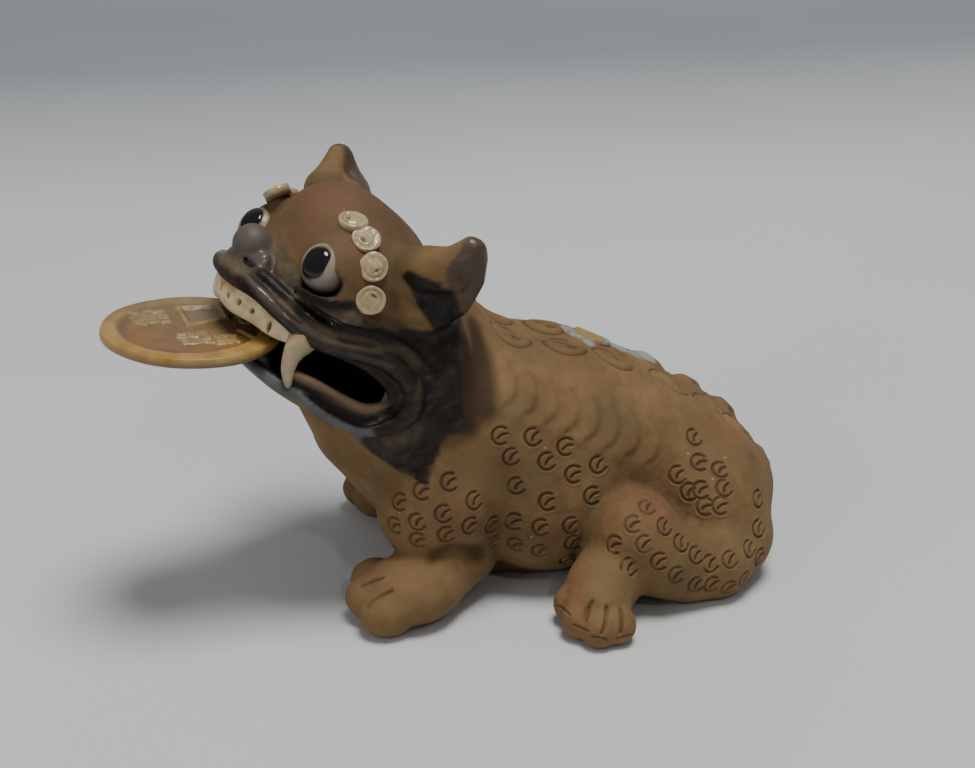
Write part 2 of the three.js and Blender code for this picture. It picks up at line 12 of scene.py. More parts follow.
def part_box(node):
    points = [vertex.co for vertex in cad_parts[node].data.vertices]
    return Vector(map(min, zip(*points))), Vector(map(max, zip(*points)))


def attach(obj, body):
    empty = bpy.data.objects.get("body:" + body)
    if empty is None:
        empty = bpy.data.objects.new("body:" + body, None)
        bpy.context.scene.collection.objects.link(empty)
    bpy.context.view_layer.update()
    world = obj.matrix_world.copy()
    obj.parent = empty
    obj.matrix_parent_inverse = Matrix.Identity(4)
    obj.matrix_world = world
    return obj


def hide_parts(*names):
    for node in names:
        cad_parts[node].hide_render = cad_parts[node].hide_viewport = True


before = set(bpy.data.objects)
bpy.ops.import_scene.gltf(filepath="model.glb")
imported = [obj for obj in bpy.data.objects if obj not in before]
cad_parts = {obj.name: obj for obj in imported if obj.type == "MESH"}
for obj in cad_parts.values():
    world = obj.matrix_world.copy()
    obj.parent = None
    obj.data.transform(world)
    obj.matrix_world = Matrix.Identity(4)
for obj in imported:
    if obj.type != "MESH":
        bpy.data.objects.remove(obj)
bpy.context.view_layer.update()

# Sizes are in millimetres, in the frame that the figure was modelled in
MM = 0.001
HEAD_TURN = math.radians(16)
HEAD_TILT = math.radians(30)
NECK = np.array([0.0, -12.0, 0.0])
HEAD_REACH = 27
HEAD_HEIGHT = 73.3
COIN_RADIUS = 20.2
COIN_THICK = 2.8
COIN_REACH = 51.1
COIN_HEIGHT = 69
COIN_TILT = math.radians(4)
EYE = np.array([17.6, 4.7, 11.4])
EYE_RADII = np.array([5.5, 5.5, 5.6])
EYE_SHIFT = np.array([-1.2, 1.6, -3])
EAR_SHIFT = [0.5, 4.4, 1]
PAW_SHIFT = [-3, 5, 0]
ROSETTE_RADIUS = 3.3
DISC_RADIUS = 5.2

# The head's own frame: u to its left, p out along the muzzle, q up through the crown
FACE = np.array([math.sin(HEAD_TURN), -math.cos(HEAD_TURN), 0])
SIDE = np.array([math.cos(HEAD_TURN), math.sin(HEAD_TURN), 0])
UP = np.array([0.0, 0.0, 1.0])
MUZZLE = FACE * math.cos(HEAD_TILT) + UP * math.sin(HEAD_TILT)
CROWN = -FACE * math.sin(HEAD_TILT) + UP * math.cos(HEAD_TILT)
HEAD_AXES = np.stack([SIDE, MUZZLE, CROWN])
HEAD_MIDDLE = NECK + FACE * HEAD_REACH + UP * HEAD_HEIGHT
COIN_MIDDLE = NECK + FACE * COIN_REACH + UP * COIN_HEIGHT

# The frame's origin is the middle of its box, so the modelled clay is shifted to fit the coin
coin_low, coin_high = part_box("coin")
SHIFT = np.array((coin_low + coin_high) / 2) / MM - COIN_MIDDLE
SHIFT[2] = 0

# The photograph's camera, 975 by 768 pixels
PHOTO_WIDTH = 975
PHOTO_HEIGHT = 768
VIEW_TURN = math.radians(80)
VIEW_RISE = math.radians(24)
FOCAL_PIXELS = 1743
SENSOR_WIDTH = 36
CAMERA = np.array([378.67, -58.65, 215.8])
VIEW_RIGHT = np.array([math.cos(VIEW_TURN), math.sin(VIEW_TURN), 0])
VIEW_BACK = np.array([
    math.sin(VIEW_TURN) * math.cos(VIEW_RISE),
    -math.cos(VIEW_TURN) * math.cos(VIEW_RISE),
    math.sin(VIEW_RISE),
])
VIEW_UP = np.cross(VIEW_BACK, VIEW_RIGHT)


# Distance to simple forms, negative inside, at points with a side of 1 or -1 each
def ball(middle, radii):
    middle, radii = np.array(middle, float), np.array(radii, float)

    def form(p, s):
        d = (p - middle) / radii
        near = np.sqrt((d * d).sum(1))
        slope = np.sqrt(((d / radii) ** 2).sum(1))
        return near * (near - 1) / np.maximum(slope, 1e-6)

    return form


def roll(*knots):
    knots = np.array(knots, float)

    def form(p, s):
        best = np.full(len(p), np.inf)
        for a, b in zip(knots[:-1], knots[1:]):
            span = b[:3] - a[:3]
            off = p - a[:3]
            t = np.clip(off @ span / (span @ span), 0, 1)
            off = off - t[:, None] * span
            best = np.minimum(best, np.sqrt((off * off).sum(1)) - a[3] - (b[3] - a[3]) * t)
        return best

    return form


def curved(parts, *knots):
    """Knots on the smooth curve through the given ones, so many to each span."""
    knots = np.array(knots, float)
    ends = np.concatenate([[2 * knots[0] - knots[1]], knots, [2 * knots[-1] - knots[-2]]])
    made = []
    for a, b, c, d in zip(ends, ends[1:], ends[2:], ends[3:]):
        for t in np.arange(parts) / parts:
            pull = (c - a) * t + (2 * a - 5 * b + 4 * c - d) * t**2 + (3 * b - a - 3 * c + d) * t**3
            made.append(b + pull / 2)
    return [*made, knots[-1]]


def block(middle, half, edge):
    def form(p, s):
        q = np.abs(p - middle) - half + edge
        out = np.sqrt((np.maximum(q, 0) ** 2).sum(1))
        return out + np.minimum(q.max(1), 0) - edge

    return form


def join(a, b, k):
    h = np.clip(0.5 + 0.5 * (b - a) / k, 0, 1)
    return b * (1 - h) + a * h - k * h * (1 - h)


def cut(a, b, k):
    return -join(-a, b, k)


def far(form, by):
    """The form as it is on the near side, and moved by a little on the far side."""
    return lambda p, s: form(p - np.where(s[:, None] < 0, by, 0), s)


def sided(near, other):
    return lambda p, s: np.where(s < 0, other(p, s), near(p, s))


def one_sided(form):
    return lambda p, s: form(p * np.stack([s, np.ones_like(s), np.ones_like(s)], 1), s)


def together(k, *forms):
    def form(p, s):
        whole = forms[0](p, s)
        for other in forms[1:]:
            whole = join(whole, other(p, s), k)
        return whole

    return form


def model(steps, p, s):
    whole = np.full(len(p), 99.0)
    for what, form, k in steps:
        whole = (join if what == "add" else cut)(whole, form(p, s), k)
    return whole


# Head, in its own frame, both sides alike
EARS = far(
    together(
        2,
        # Front wall, its flap over the hollow, then the back wall
        roll([20, -12.5, 17.5, 6], [26.5, -13, 21.5, 4.8], [31, -15, 25, 3.6], [33.6, -15.8, 29.6, 2.6]),
        roll([27.6, -13.2, 20.4, 3.6], [32.6, -17.4, 21, 2.5]),
        roll([21, -21, 13, 6.5], [27.5, -22, 17, 4], [32, -20.6, 23.5, 3], [34, -17.2, 29.6, 2.4]),
        roll([21, -20, 19, 6], [28, -21.5, 24, 3.6], [33, -18.5, 28, 2.4]),
        roll([22, -16, 15, 7], [28, -18, 21, 4.6]),
    ),
    EAR_SHIFT,
)
EAR_HOLLOWS = far(
    together(
        1,
        roll(
            [28.2, -10.8, 13.4, 2.2],
            [32, -16.6, 14.6, 3.4],
            [34.9, -21.2, 18.8, 2.8],
            [37.2, -19.8, 25.8, 1.8],
        ),
        roll([31.5, -18, 13.8, 3.4], [29.4, -20.6, 10.6, 2.6]),
    ),
    EAR_SHIFT,
)
LIPS = roll(*curved(
    4,
    [0, 17.2, 0.1, 2.4],
    [6, 16.6, 0.3, 2.3],
    [12.5, 13.8, 0.1, 1.9],
    [17.5, 9.2, -1.7, 1.8],
    [20.8, 3, -3.5, 1.8],
    [22.8, -3.5, -3.2, 2],
    [24, -10, -2, 2.3],
    [25.2, -17, -1.8, 2.5],
    [26.3, -23.2, -4.6, 2.6],
    [26.5, -25.2, -9.5, 2.6],
    [25.4, -23.4, -14.4, 2.5],
    [24, -17.5, -17.3, 2.4],
    [23, -10, -17.4, 2.3],
    [21.8, -3, -16.6, 2.2],
    [18, 3, -16.3, 1.9],
    [12, 6.5, -15.8, 1.7],
    [0, 8.5, -15.5, 1.7],
))
INNER_LIP = roll(*curved(
    3,
    [20, 1.6, -12.8, 1.5],
    [21.8, -4, -13, 1.5],
    [22.8, -14.5, -14.2, 1.5],
    [23, -19.4, -12.8, 1.5],
    [22.9, -21.2, -9, 1.5],
))
LIP_GROOVE = roll(*curved(
    3,
    [22.4, -2, -15.1, 0.5],
    [23.9, -5.5, -15.2, 1],
    [25, -10.5, -15.7, 1.2],
    [25.7, -17, -15.7, 1.1],
    [26, -21.5, -12, 0.8],
))
# Ridge between the upper lip and the nose, which runs on above the lip
UPPER_RIDGE = roll(*curved(
    3,
    [0, 14.6, 2.6, 2.7],
    [5, 14.4, 2.9, 2.3],
    [11, 12.2, 2.8, 1.7],
    [16, 8.2, 1.3, 1.5],
    [19.6, 3.4, -0.2, 1.5],
    [21.8, -2, -0.5, 1.5],
))
CHEEK_ROLL = roll([16.6, 10.6, 4.4, 0.4], [19.4, 7, 4.8, 1.3], [21, 4, 4.6, 1.7], [23, -2, 4, 1.9], [24, -8, 4.6, 1.9])
CHEEK_GROOVE = roll(
    [18.8, 8.2, 3, 0.3],
    [21.4, 4.2, 1.9, 0.8],
    [23.8, -1.5, 1, 1],
    [25.2, -7, 1.6, 1],
    [25.9, -13, 3.2, 0.9],
    [26.5, -22, 4, 0.3],
)
TONGUE = ball([0, -14, -8], [9, 14, 12])
MOUTH_SIDES = ball([0, -3, -10.2], [40, 22, 4.9])
MOUTH_FRONT = ball([0, 14, -10.5], [15, 16, 5])
NOSE = ball([0, 14.6, 7.6], [4.8, 4.5, 4.7])
NOSE_WINGS = ball([6, 13.3, 4.8], [2, 1.9, 3.1])
NOSE_BASE = ball([0, 15.2, 3.2], [6.5, 2.5, 2.3])
NOSTRILS = sided(ball([5.3, 15.6, 4.2], [2, 1.3, 0.45]), ball([6, 14.6, 3.6], [1.6, 1.2, 0.5]))
SOCKETS = far(ball([17.6, 3.4, 9.9], [5.5, 5.6, 5.6]), EYE_SHIFT)
BROWS = sided(
    roll([14, 2.2, 19.6, 3], [16.5, -1.3, 18.9, 3], [20.2, -4.1, 15.6, 3], [22.3, -6.1, 10, 2.8]),
    roll([15.3, 6.4, 16.6, 2.2], [17.9, 2.6, 15.9, 2.7], [20.5, -2, 13.3, 3], [22.2, -4.6, 9.5, 2.8]),
)


def mouth(p, s):
    sides = np.maximum(cut(MOUTH_SIDES(p, s), TONGUE(p, s), 3), -(p[:, 1] + 26))
    return join(sides, MOUTH_FRONT(p, s), 3)


HEAD = [
    ("add", ball([0, -12, 2], [24, 25, 15]), 1),
    ("add", ball([0, -3.4, 12.4], [20, 13, 16.4]), 5),  # forehead
    ("add", ball([0, -13.5, 10.2], [21, 14.6, 16.2]), 6),  # crown
    ("add", ball([14.5, -6, 11], [10, 9.5, 10.5]), 4),  # brows
    ("add", ball([0, -14, -1], [22.8, 31, 6]), 3),  # muzzle
    ("add", ball([0, -14, -3], [20.2, 29.6, 5.5]), 1),  # gums
    ("add", ball([15, -27, -4], [12.5, 13.5, 19]), 5),  # jowls
    ("add", ball([17.5, -30, -17], [9.5, 9, 9.5]), 3),
    ("add", ball([0, -16, -16.5], [22.6, 23.5, 3.8]), 3),  # lower jaw
    ("add", roll([0, 10, 5.6, 4.8], [0, 3.5, 8.5, 7]), 3),  # bridge of the nose
    ("cut", mouth, 1.2),
    ("add", UPPER_RIDGE, 1),
    ("add", LIPS, 0.7),
    ("add", CHEEK_ROLL, 1.5),
    ("add", INNER_LIP, 1.2),
    ("cut", LIP_GROOVE, 0.5),
    ("cut", CHEEK_GROOVE, 1.2),
    ("add", NOSE_BASE, 1.5),
    ("add", NOSE, 1.6),
    ("add", NOSE_WINGS, 1),
    ("cut", NOSTRILS, 0.6),
    ("add", far(ball([17, 1.4, 11.6], [7.4, 7.6, 7.8]), [0.6, 0.4, -2.4]), 3),  # eyelids
    ("add", BROWS, 2),
    ("cut", SOCKETS, 1.2),
    ("add", EARS, 2.5),
    ("cut", EAR_HOLLOWS, 1),
]

# Body, in the figure's frame, both sides alike
PAWS = far(
    together(
        1.2,
        ball([30, -15, 7.5], [10.5, 11.5, 8]),
        ball([22.5, -22.5, 6.2], [5.4, 6.2, 5.4]),
        ball([29, -24.5, 5.8], [5.4, 6.2, 5.4]),
        ball([35.8, -21.5, 5.2], [5.8, 6.7, 5.8]),
    ),
    PAW_SHIFT,
)
HIND_FEET = together(
    1,
    roll([31, 35, 12, 8.8], [38, 28.2, 8, 8.4], [42, 26.6, 6, 7.8]),
    ball([38.5, 21.4, 4.6], [4.6, 4.6, 4.8]),
    ball([45, 21.8, 4.2], [4.6, 4.6, 4.8]),
    ball([49.2, 25.4, 4], [4.5, 4.5, 4.8]),
    ball([48.6, 29.8, 4.2], [4.4, 4.3, 4.8]),
)
BACK = roll(
    [6, -6, 36.5, 20],
    [6, 8, 37.5, 21],
    [6, 24, 34.5, 21],
    [6, 38, 28.8, 20],
    [6, 50, 22.6, 18.5],
    [6, 60, 16.8, 16.3],
    [5, 65.5, 14.6, 14.4],
)
HAUNCH = roll(
    [9, 64.6, 12.5, 12.8],
    [21.5, 62.4, 10.4, 12.4],
    [28.4, 57, 8.4, 11],
    [30.8, 50.5, 8.4, 9.8],
    [32, 43.5, 12, 10.2],
    [30.5, 38, 16.8, 11.3],
)
BODY = [
    ("add", BACK, 1),
    ("add", block([0, 30, 6], [14, 34, 12], 6), 4),  # belly, flat on the ground
    ("add", ball([8, 21, 20], [22.8, 24, 19.8]), 6),  # flanks
    ("add", roll([4, -1, 18, 16], [4, -8, 30, 16]), 5),  # chest
    ("add", one_sided(roll([0, -6, 24, 16.5], [2.5, -19.5, 40, 15.8], [4.5, -26.5, 52, 13.5])), 4),
    ("add", roll([4, -3, 40, 21], [2, -14, 60, 20]), 6),  # neck
    ("add", ball([21.8, -7, 24.5], [11.5, 15, 15]), 5),  # shoulders
    ("add", roll([20.5, -1.5, 11, 8.4], [27.4, -10, 9, 8.8]), 2),  # forelegs
    ("add", PAWS, 2),
    ("add", ball([13.5, 59, 17], [19.5, 16, 16.5]), 5),  # rump
    ("add", HAUNCH, 2),
    ("add", HIND_FEET, 2),
]
HEAD_SPREAD = 70  # nothing of the head is further from its middle


def into_head(points):
    return (points - HEAD_MIDDLE) @ HEAD_AXES.T


def head_point(u, p, q):
    return HEAD_MIDDLE + np.array([u, p, q]) @ HEAD_AXES


def folded(points):
    """Points with their x turned to the near side, and the side that they came from."""
    near = points.copy()
    near[:, 0] = np.abs(near[:, 0])
    return near, np.where(points[:, 0] < 0, -1.0, 1.0)


def clay(points):
    """Distance to the whole figure, without what is joined on afterwards."""
    whole = model(BODY, *folded(points))
    local = into_head(points)
    close = (local**2).sum(1) < HEAD_SPREAD**2
    head = model(HEAD, *folded(local[close]))
    whole[close] = join(whole[close], head, 3)
    return np.maximum(whole, -points[:, 2])


def slope(points, reach=0.15):
    """Direction out of the clay at points on it."""
    out = np.zeros_like(points)
    for axis in range(3):
        step = np.eye(3)[axis] * reach
        out[:, axis] = clay(points + step) - clay(points - step)
    return out / np.maximum(np.linalg.norm(out, axis=1), 1e-9)[:, None]


def settle(points, rounds=3, most=1.0):
    """Points moved along the slope until they lie on the clay."""
    for _ in range(rounds):
        away = np.clip(clay(points), -most, most)
        points = points - slope(points) * away[:, None]
    return points


def seen(pixels):
    """Points of the clay that the photograph shows at these pixels."""
    pixels = np.array(pixels, float)
    across = (pixels[:, 0] - PHOTO_WIDTH / 2) / FOCAL_PIXELS
    rise = (PHOTO_HEIGHT / 2 - pixels[:, 1]) / FOCAL_PIXELS
    ways = across[:, None] * VIEW_RIGHT + rise[:, None] * VIEW_UP - VIEW_BACK
    ways /= np.linalg.norm(ways, axis=1)[:, None]
    reach = np.full(len(pixels), 270.0)
    for _ in range(90):
        reach += 0.7 * clay(CAMERA + ways * reach[:, None])
    return CAMERA + ways * reach[:, None]


def mirrored(points):
    return points * np.array([-1, 1, 1])


# Net of triangles over the clay, first coarse cells near the surface and then fine ones
NET_LOW = np.array([-60.0, -70.0, -4.8])
NET_HIGH = np.array([60.0, 92.0, 108.0])
NET_STEP = 1.2
COARSE = 6


def net(distance, low, high, step):
    big = step * COARSE
    count = np.ceil((high - low) / big).astype(int)
    middles = [low[i] + big * (np.arange(count[i]) + 0.5) for i in range(3)]
    rough = distance(np.stack(np.meshgrid(*middles, indexing="ij"), -1).reshape(-1, 3))
    value = np.where(rough > 0, 9.0, -9.0).reshape(count)
    for axis in range(3):
        value = np.repeat(value, COARSE, axis)
    value = np.pad(value, ((0, 1),) * 3, constant_values=9.0)
    cells = np.argwhere((np.abs(rough) < 1.9 * big).reshape(count)) * COARSE
    inner = np.stack(np.meshgrid(*[np.arange(COARSE + 1)] * 3, indexing="ij"), -1).reshape(-1, 3)
    for start in range(0, len(cells), 1500):
        spots = (cells[start:start + 1500, None] + inner).reshape(-1, 3)
        spots = np.unique(np.ravel_multi_index(spots.T, value.shape))
        spots = np.stack(np.unravel_index(spots, value.shape), 1)
        value[tuple(spots.T)] = distance(low + step * spots)
    return surface_of(value, low, step)


def surface_of(value, low, step):
    """One point in each cell that the surface crosses, and a quad over each crossed edge."""
    inside = value < 0
    size = np.array(value.shape) - 1
    total = np.zeros((*size, 3))
    hits = np.zeros(size)

    def part(grid, corner):
        return grid[tuple(slice(c, c + n) for c, n in zip(corner, size))]

    for corner in np.ndindex(2, 2, 2):
        for axis in range(3):
            if corner[axis]:
                continue
            end = tuple(c + (i == axis) for i, c in enumerate(corner))
            a, b = part(value, corner), part(value, end)
            crossed = part(inside, corner) != part(inside, end)
            along = np.where(crossed, a / np.where(crossed, a - b, 1), 0)
            for i in range(3):
                total[..., i] += np.where(crossed, corner[i] + (along if i == axis else 0), 0)
            hits += crossed
    active = hits > 0
    number = np.full(size, -1)
    number[active] = np.arange(active.sum())
    points = low + step * (np.argwhere(active) + total[active] / hits[active][:, None])
    faces = []
    for axis in range(3):
        first = [slice(None)] * 3
        second = [slice(None)] * 3
        first[axis] = slice(0, -1)
        second[axis] = slice(1, None)
        a, b = inside[tuple(first)], inside[tuple(second)]
        edges = np.argwhere(a != b)
        u, w = (axis + 1) % 3, (axis + 2) % 3
        edges = edges[(edges[:, u] > 0) & (edges[:, w] > 0) & (edges[:, u] < size[u]) & (edges[:, w] < size[w])]
        quad = []
        for du, dw in ((-1, -1), (0, -1), (0, 0), (-1, 0)):
            cell = edges.copy()
            cell[:, u] += du
            cell[:, w] += dw
            quad.append(number[tuple(cell.T)])
        quad = np.stack(quad, 1)
        outside = ~a[tuple(edges.T)]
        quad[outside] = quad[outside][:, ::-1]
        faces += [quad[:, [0, 1, 2]], quad[:, [0, 2, 3]]]
    return points, np.concatenate(faces)


def refine(points, faces, wanted, longest):
    """Halves the long edges of the wanted triangles, and splits their neighbours to match."""
    edges = np.sort(faces[:, [[0, 1], [1, 2], [2, 0]]].reshape(-1, 2), axis=1)
    ends, back = np.unique(edges, axis=0, return_inverse=True)
    back = back.reshape(-1, 3)
    halved = np.zeros(len(ends), bool)
    halved[back[wanted]] = True
    halved &= np.linalg.norm(points[ends[:, 0]] - points[ends[:, 1]], axis=1) > longest
    middle = np.full(len(ends), -1)
    middle[halved] = len(points) + np.arange(halved.sum())
    points = np.concatenate([points, points[ends[halved]].mean(1)])
    m = middle[back]
    cuts = (m >= 0).sum(1)
    made = [faces[cuts == 0]]
    # Each triangle is turned so that its cut edges come first
    turned = np.where(cuts == 1, (m >= 0).argmax(1), ((m < 0).argmax(1) + 1) % 3)
    order = (turned[:, None] + np.arange(3)) % 3
    f = np.take_along_axis(faces, order, 1)
    m = np.take_along_axis(m, order, 1)
    a, b, c = f[cuts == 1].T
    n = m[cuts == 1, 0]
    made += [np.stack([a, n, c], 1), np.stack([n, b, c], 1)]
    a, b, c = f[cuts == 2].T
    n, o = m[cuts == 2, :2].T
    made += [np.stack([n, b, o], 1), np.stack([a, n, o], 1), np.stack([a, o, c], 1)]
    a, b, c = f[cuts == 3].T
    n, o, w = m[cuts == 3].T
    made += [np.stack(t, 1) for t in ((a, n, w), (n, b, o), (w, o, c), (n, o, w))]
    return points, np.concatenate(made)


def normals_of(points, faces):
    a, b, c = (points[faces[:, i]] for i in range(3))
    facing = np.cross(b - a, c - a)
    out = np.zeros_like(points)
    for axis in range(3):
        for corner in range(3):
            out[:, axis] += np.bincount(faces[:, corner], facing[:, axis], len(points))
    return out / np.maximum(np.linalg.norm(out, axis=1), 1e-12)[:, None]


# Relief that is pressed into the clay, as strokes: a line of points, a width and a depth, with the shade of each
# groove painted in as darker colour
class Stroke:
    def __init__(self, line, width, depth, rim=0.0, groove_shade=1.0):
        self.line = np.array(line, float)
        self.width = width
        self.depth = depth
        self.rim = rim
        self.groove_shade = groove_shade
        self.middle = self.line.mean(0)
        self.reach = np.linalg.norm(self.line - self.middle, axis=1).max() + 3 * width

    def distance(self, points):
        best = np.full(len(points), np.inf)
        for a, b in zip(self.line[:-1], self.line[1:]):
            span = b - a
            off = points - a
            t = np.clip(off @ span / max(span @ span, 1e-9), 0, 1)
            off = off - t[:, None] * span
            best = np.minimum(best, (off * off).sum(1))
        return np.sqrt(best)

    def near(self, points):
        off = points - self.middle
        return np.nonzero((off * off).sum(1) < self.reach**2)[0]

    def profile(self, d):
        groove = np.exp(-((d / self.width) ** 2) * 2.2)
        rim = np.exp(-(((d - 1.5 * self.width) / (0.6 * self.width)) ** 2))
        return groove * self.depth, rim * self.rim


# Disc of clay on the back, with an engraved outline and punched dimples
class Disc:
    def __init__(self, middle, out, rise, dimples):
        self.middle = middle
        self.out = out
        self.rise = rise
        self.dimples = dimples
        self.reach = DISC_RADIUS + 2

    def near(self, points):
        off = points - self.middle
        return np.nonzero((off * off).sum(1) < self.reach**2)[0]

    def distance(self, points):
        off = points - self.middle
        along = off @ self.out
        return np.linalg.norm(off - along[:, None] * self.out, axis=1)


def turning(noise_seed, count):
    return np.random.default_rng(noise_seed).uniform(-1, 1, count)


def tangents(out):
    """Right and up on the surface, as seen from outside."""
    right = np.cross(UP, out)
    right /= np.linalg.norm(right)
    return right, np.cross(out, right)


# Rows of stamps in the photograph: start, middle and end in pixels, and how many
STAMP_ROWS = [
    ((399, 502), (422, 491), (450, 482), 3),  # shoulder
    ((394, 526), (430, 519), (475, 501), 4),
    ((418, 541), (447, 535), (471, 526), 3),
    ((501, 436), (550, 441), (599, 465), 4),  # flank
    ((512, 457), (562, 467), (593, 496), 4),
    ((517, 486), (548, 502), (572, 526), 3),
    ((493, 525), (527, 524), (574, 543), 4),
    ((493, 542), (528, 548), (569, 560), 4),
    ((633, 524), (660, 562), (697, 585), 5),  # haunch
    ((648, 506), (682, 543), (711, 564), 5),
    ((713, 585), (738, 585), (760, 557), 4),
    ((731, 560), (756, 540), (759, 499), 4),
    ((614, 545), (621, 557), (630, 567), 2),
    ((695, 437), (700, 462), (701, 490), 3),  # hollow above the haunch
    ((678, 475), (689, 492), (705, 507), 3),
    ((721, 469), (725, 488), (721, 506), 3),
]
STAMP_RADIUS = 2.05
STAMP_WIDTH = 0.42
STAMP_DEPTH = 0.5
STAMP_STROKE = [(-0.5, -0.8), (-0.15, -0.1), (0.5, 0.45), (1.35, 0.75)]


def bent(start, middle, end, count):
    """Points on the curve through three pixels, evenly spaced."""
    start, middle, end = (np.array(v, float) for v in (start, middle, end))
    pull = 2 * middle - (start + end) / 2
    t = np.linspace(0, 1, count)[:, None]
    return start * (1 - t) ** 2 + pull * 2 * t * (1 - t) + end * t**2


def stamp(middle, out, lean):
    right, up = tangents(out)
    right, up = right * math.cos(lean) + up * math.sin(lean), up * math.cos(lean) - right * math.sin(lean)
    arc = [math.radians(a) for a in range(64, 322, 21)]
    ring = [middle + STAMP_RADIUS * (right * math.cos(a) + up * math.sin(a)) for a in arc]
    inner = [middle + right * x + up * y for x, y in STAMP_STROKE]
    return [Stroke(line, STAMP_WIDTH, STAMP_DEPTH, 0.1) for line in (ring, inner)]


def stamps():
    pixels = np.concatenate([bent(*row) for row in STAMP_ROWS])
    near = settle(seen(pixels))
    made = []
    for hand, points in ((1, near), (-1, settle(mirrored(near)))):
        out = slope(points)
        leans = turning(5 + hand, len(points)) * 0.3
        for point, way, lean in zip(points, out, leans):
            made += stamp(point, way, lean)
    return made


# Rib wrinkles: the right ends of eight arcs along the flank, in pixels
RIBS = ((520, 384), (592, 414), (663, 441), 8)
RIB_SWELL = -8  # pixels from each crease to the middle of the swelling on its left
RIB_SIZE = (17, 23)  # half the width and half the height of the oval that each arc lies on
RIB_TURNS = np.radians(np.linspace(-58, 84, 12))


def ribs():
    made = []
    for right in bent(*RIBS):
        arc = np.stack([np.cos(RIB_TURNS) - 1, np.sin(RIB_TURNS)], 1) * RIB_SIZE
        # Each crease with a little painted shade, and the swelling beside it with none
        for shift, width, depth, groove_shade in ((0, 1.1, 0.17, 0.1), (RIB_SWELL, 2.3, -0.42, 0)):
            line = settle(seen(right + arc + [shift, 0]))
            made += [Stroke(points, width, depth, 0, groove_shade) for points in (line, settle(mirrored(line)))]
    return made


# Slits between the toes and creases over the claws, in pixels
TOE_SLITS = [
    ((362, 585), (371, 581), (382, 577)),
    ((366, 608), (373, 599), (391, 591)),
    ((584, 621), (587, 611), (592, 602)),
    ((602, 634), (606, 622), (607, 608)),
    ((621, 634), (622, 622), (621, 608)),
]
CLAW_CREASES = [
    ((556, 606), (562, 608), (569, 615)),
    ((573, 625), (580, 628), (587, 631)),
    ((592, 637), (599, 638), (607, 640)),
    ((617, 639), (624, 637), (632, 635)),
]
# Fold between the shoulder and the foreleg, its shade painted dark
SHOULDER_FOLD = [((432, 558), (455, 549), (482, 553))]
FAR_PAW = np.array([3.0, 5.0, 0.0])


def toe_lines():
    made = []
    # Width, depth and painted groove shade of each kind of line
    kinds = ((TOE_SLITS, 0.62, 0.75, 0.5), (CLAW_CREASES, 0.4, 0.4, 0.4), (SHOULDER_FOLD, 2.3, 0.9, 0.8))
    for lines, width, depth, groove_shade in kinds:
        for pixels in lines:
            line = settle(seen(bent(*pixels, 7)))
            shift = FAR_PAW if line[0, 1] < 0 else 0
            for points in (line, settle(mirrored(line) + shift)):
                made.append(Stroke(points, width, depth, 0.05, groove_shade))
    return made


# Row of discs on the near side of the back: place across and along it, how far each
# stands up, and its dimples
DISC_ROWS = [
    (4.2, 14, 0.35, [(1.4, -0.6)]),
    (4.2, 26.5, 0.5, [(1.3, -1.2), (-1.4, 1.4)]),
    (3.8, 38, 0.6, [(1.2, -0.4)]),
    (2.2, 51.5, 1.3, [(1.2, -1.0)]),
    (2.4, 60.5, 1.5, [(1.0, -2.0)]),
    (3.0, 67.5, 1.4, [(0.8, -2.2)]),
    (3.4, 71.5, 0.9, [(0.6, -2.0)]),
]
FAR_DISCS = (-12.4, -2.5)  # from the near row to the far one, across and along
FLAT_DISC = 0.8  # discs that stand higher than this are domed


def discs():
    made = []
    for across, ahead in ((0, 0), FAR_DISCS):
        for x, y, rise, dimples in DISC_ROWS:
            z = 62 - 0.0098 * (y - 4) ** 2
            middle = settle(np.array([[x + across, y + ahead, z]]), 16)
            out = slope(middle)[0]
            along = np.cross(out, np.cross([0, 1, 0], out))
            along /= np.linalg.norm(along)
            up = np.cross(out, along)
            spots = [middle[0] + along * a + up * b for a, b in dimples]
            made.append(Disc(middle[0], out, rise, spots))
    return made


def bump_at(d, middle, width):
    return np.exp(-(((d - middle) / width) ** 2))


def smooth(low, high, value):
    t = np.clip((value - low) / (high - low), 0, 1)
    return t * t * (3 - 2 * t)


def undulation(points):
    """Slow unevenness of a form made by hand."""
    x, y, z = (points / 9.0).T
    return (
        np.sin(1.3 * x + 0.8 * y + 2.1) * np.sin(1.1 * y - 1.4 * z + 0.4)
        + 0.6 * np.sin(2.3 * z + 1.7 * x + 1.0) * np.sin(2.1 * y + 0.9 * z)
    )


FOLD_REACH = 4.6  # how far the folds round the mouth spread from the lips


def lip_folds(points):
    """Ripples that follow the lips and go round the corners of the mouth."""
    local, s = folded(into_head(points))
    d = LIPS(local, s)
    outer = smooth(14, 18, local[:, 0]) * smooth(-33, -26, local[:, 1]) * smooth(-12, -7, -np.abs(local[:, 1] + 12) + 15)
    above = smooth(-15.5, -13, local[:, 2])
    ripple = 0.35 * bump_at(d, 2.3, 0.8) - 0.3 * bump_at(d, 0.75, 0.45) - 0.35 * bump_at(d, 3.7, 0.5)
    return np.where(d < FOLD_REACH, ripple * outer * above, 0)


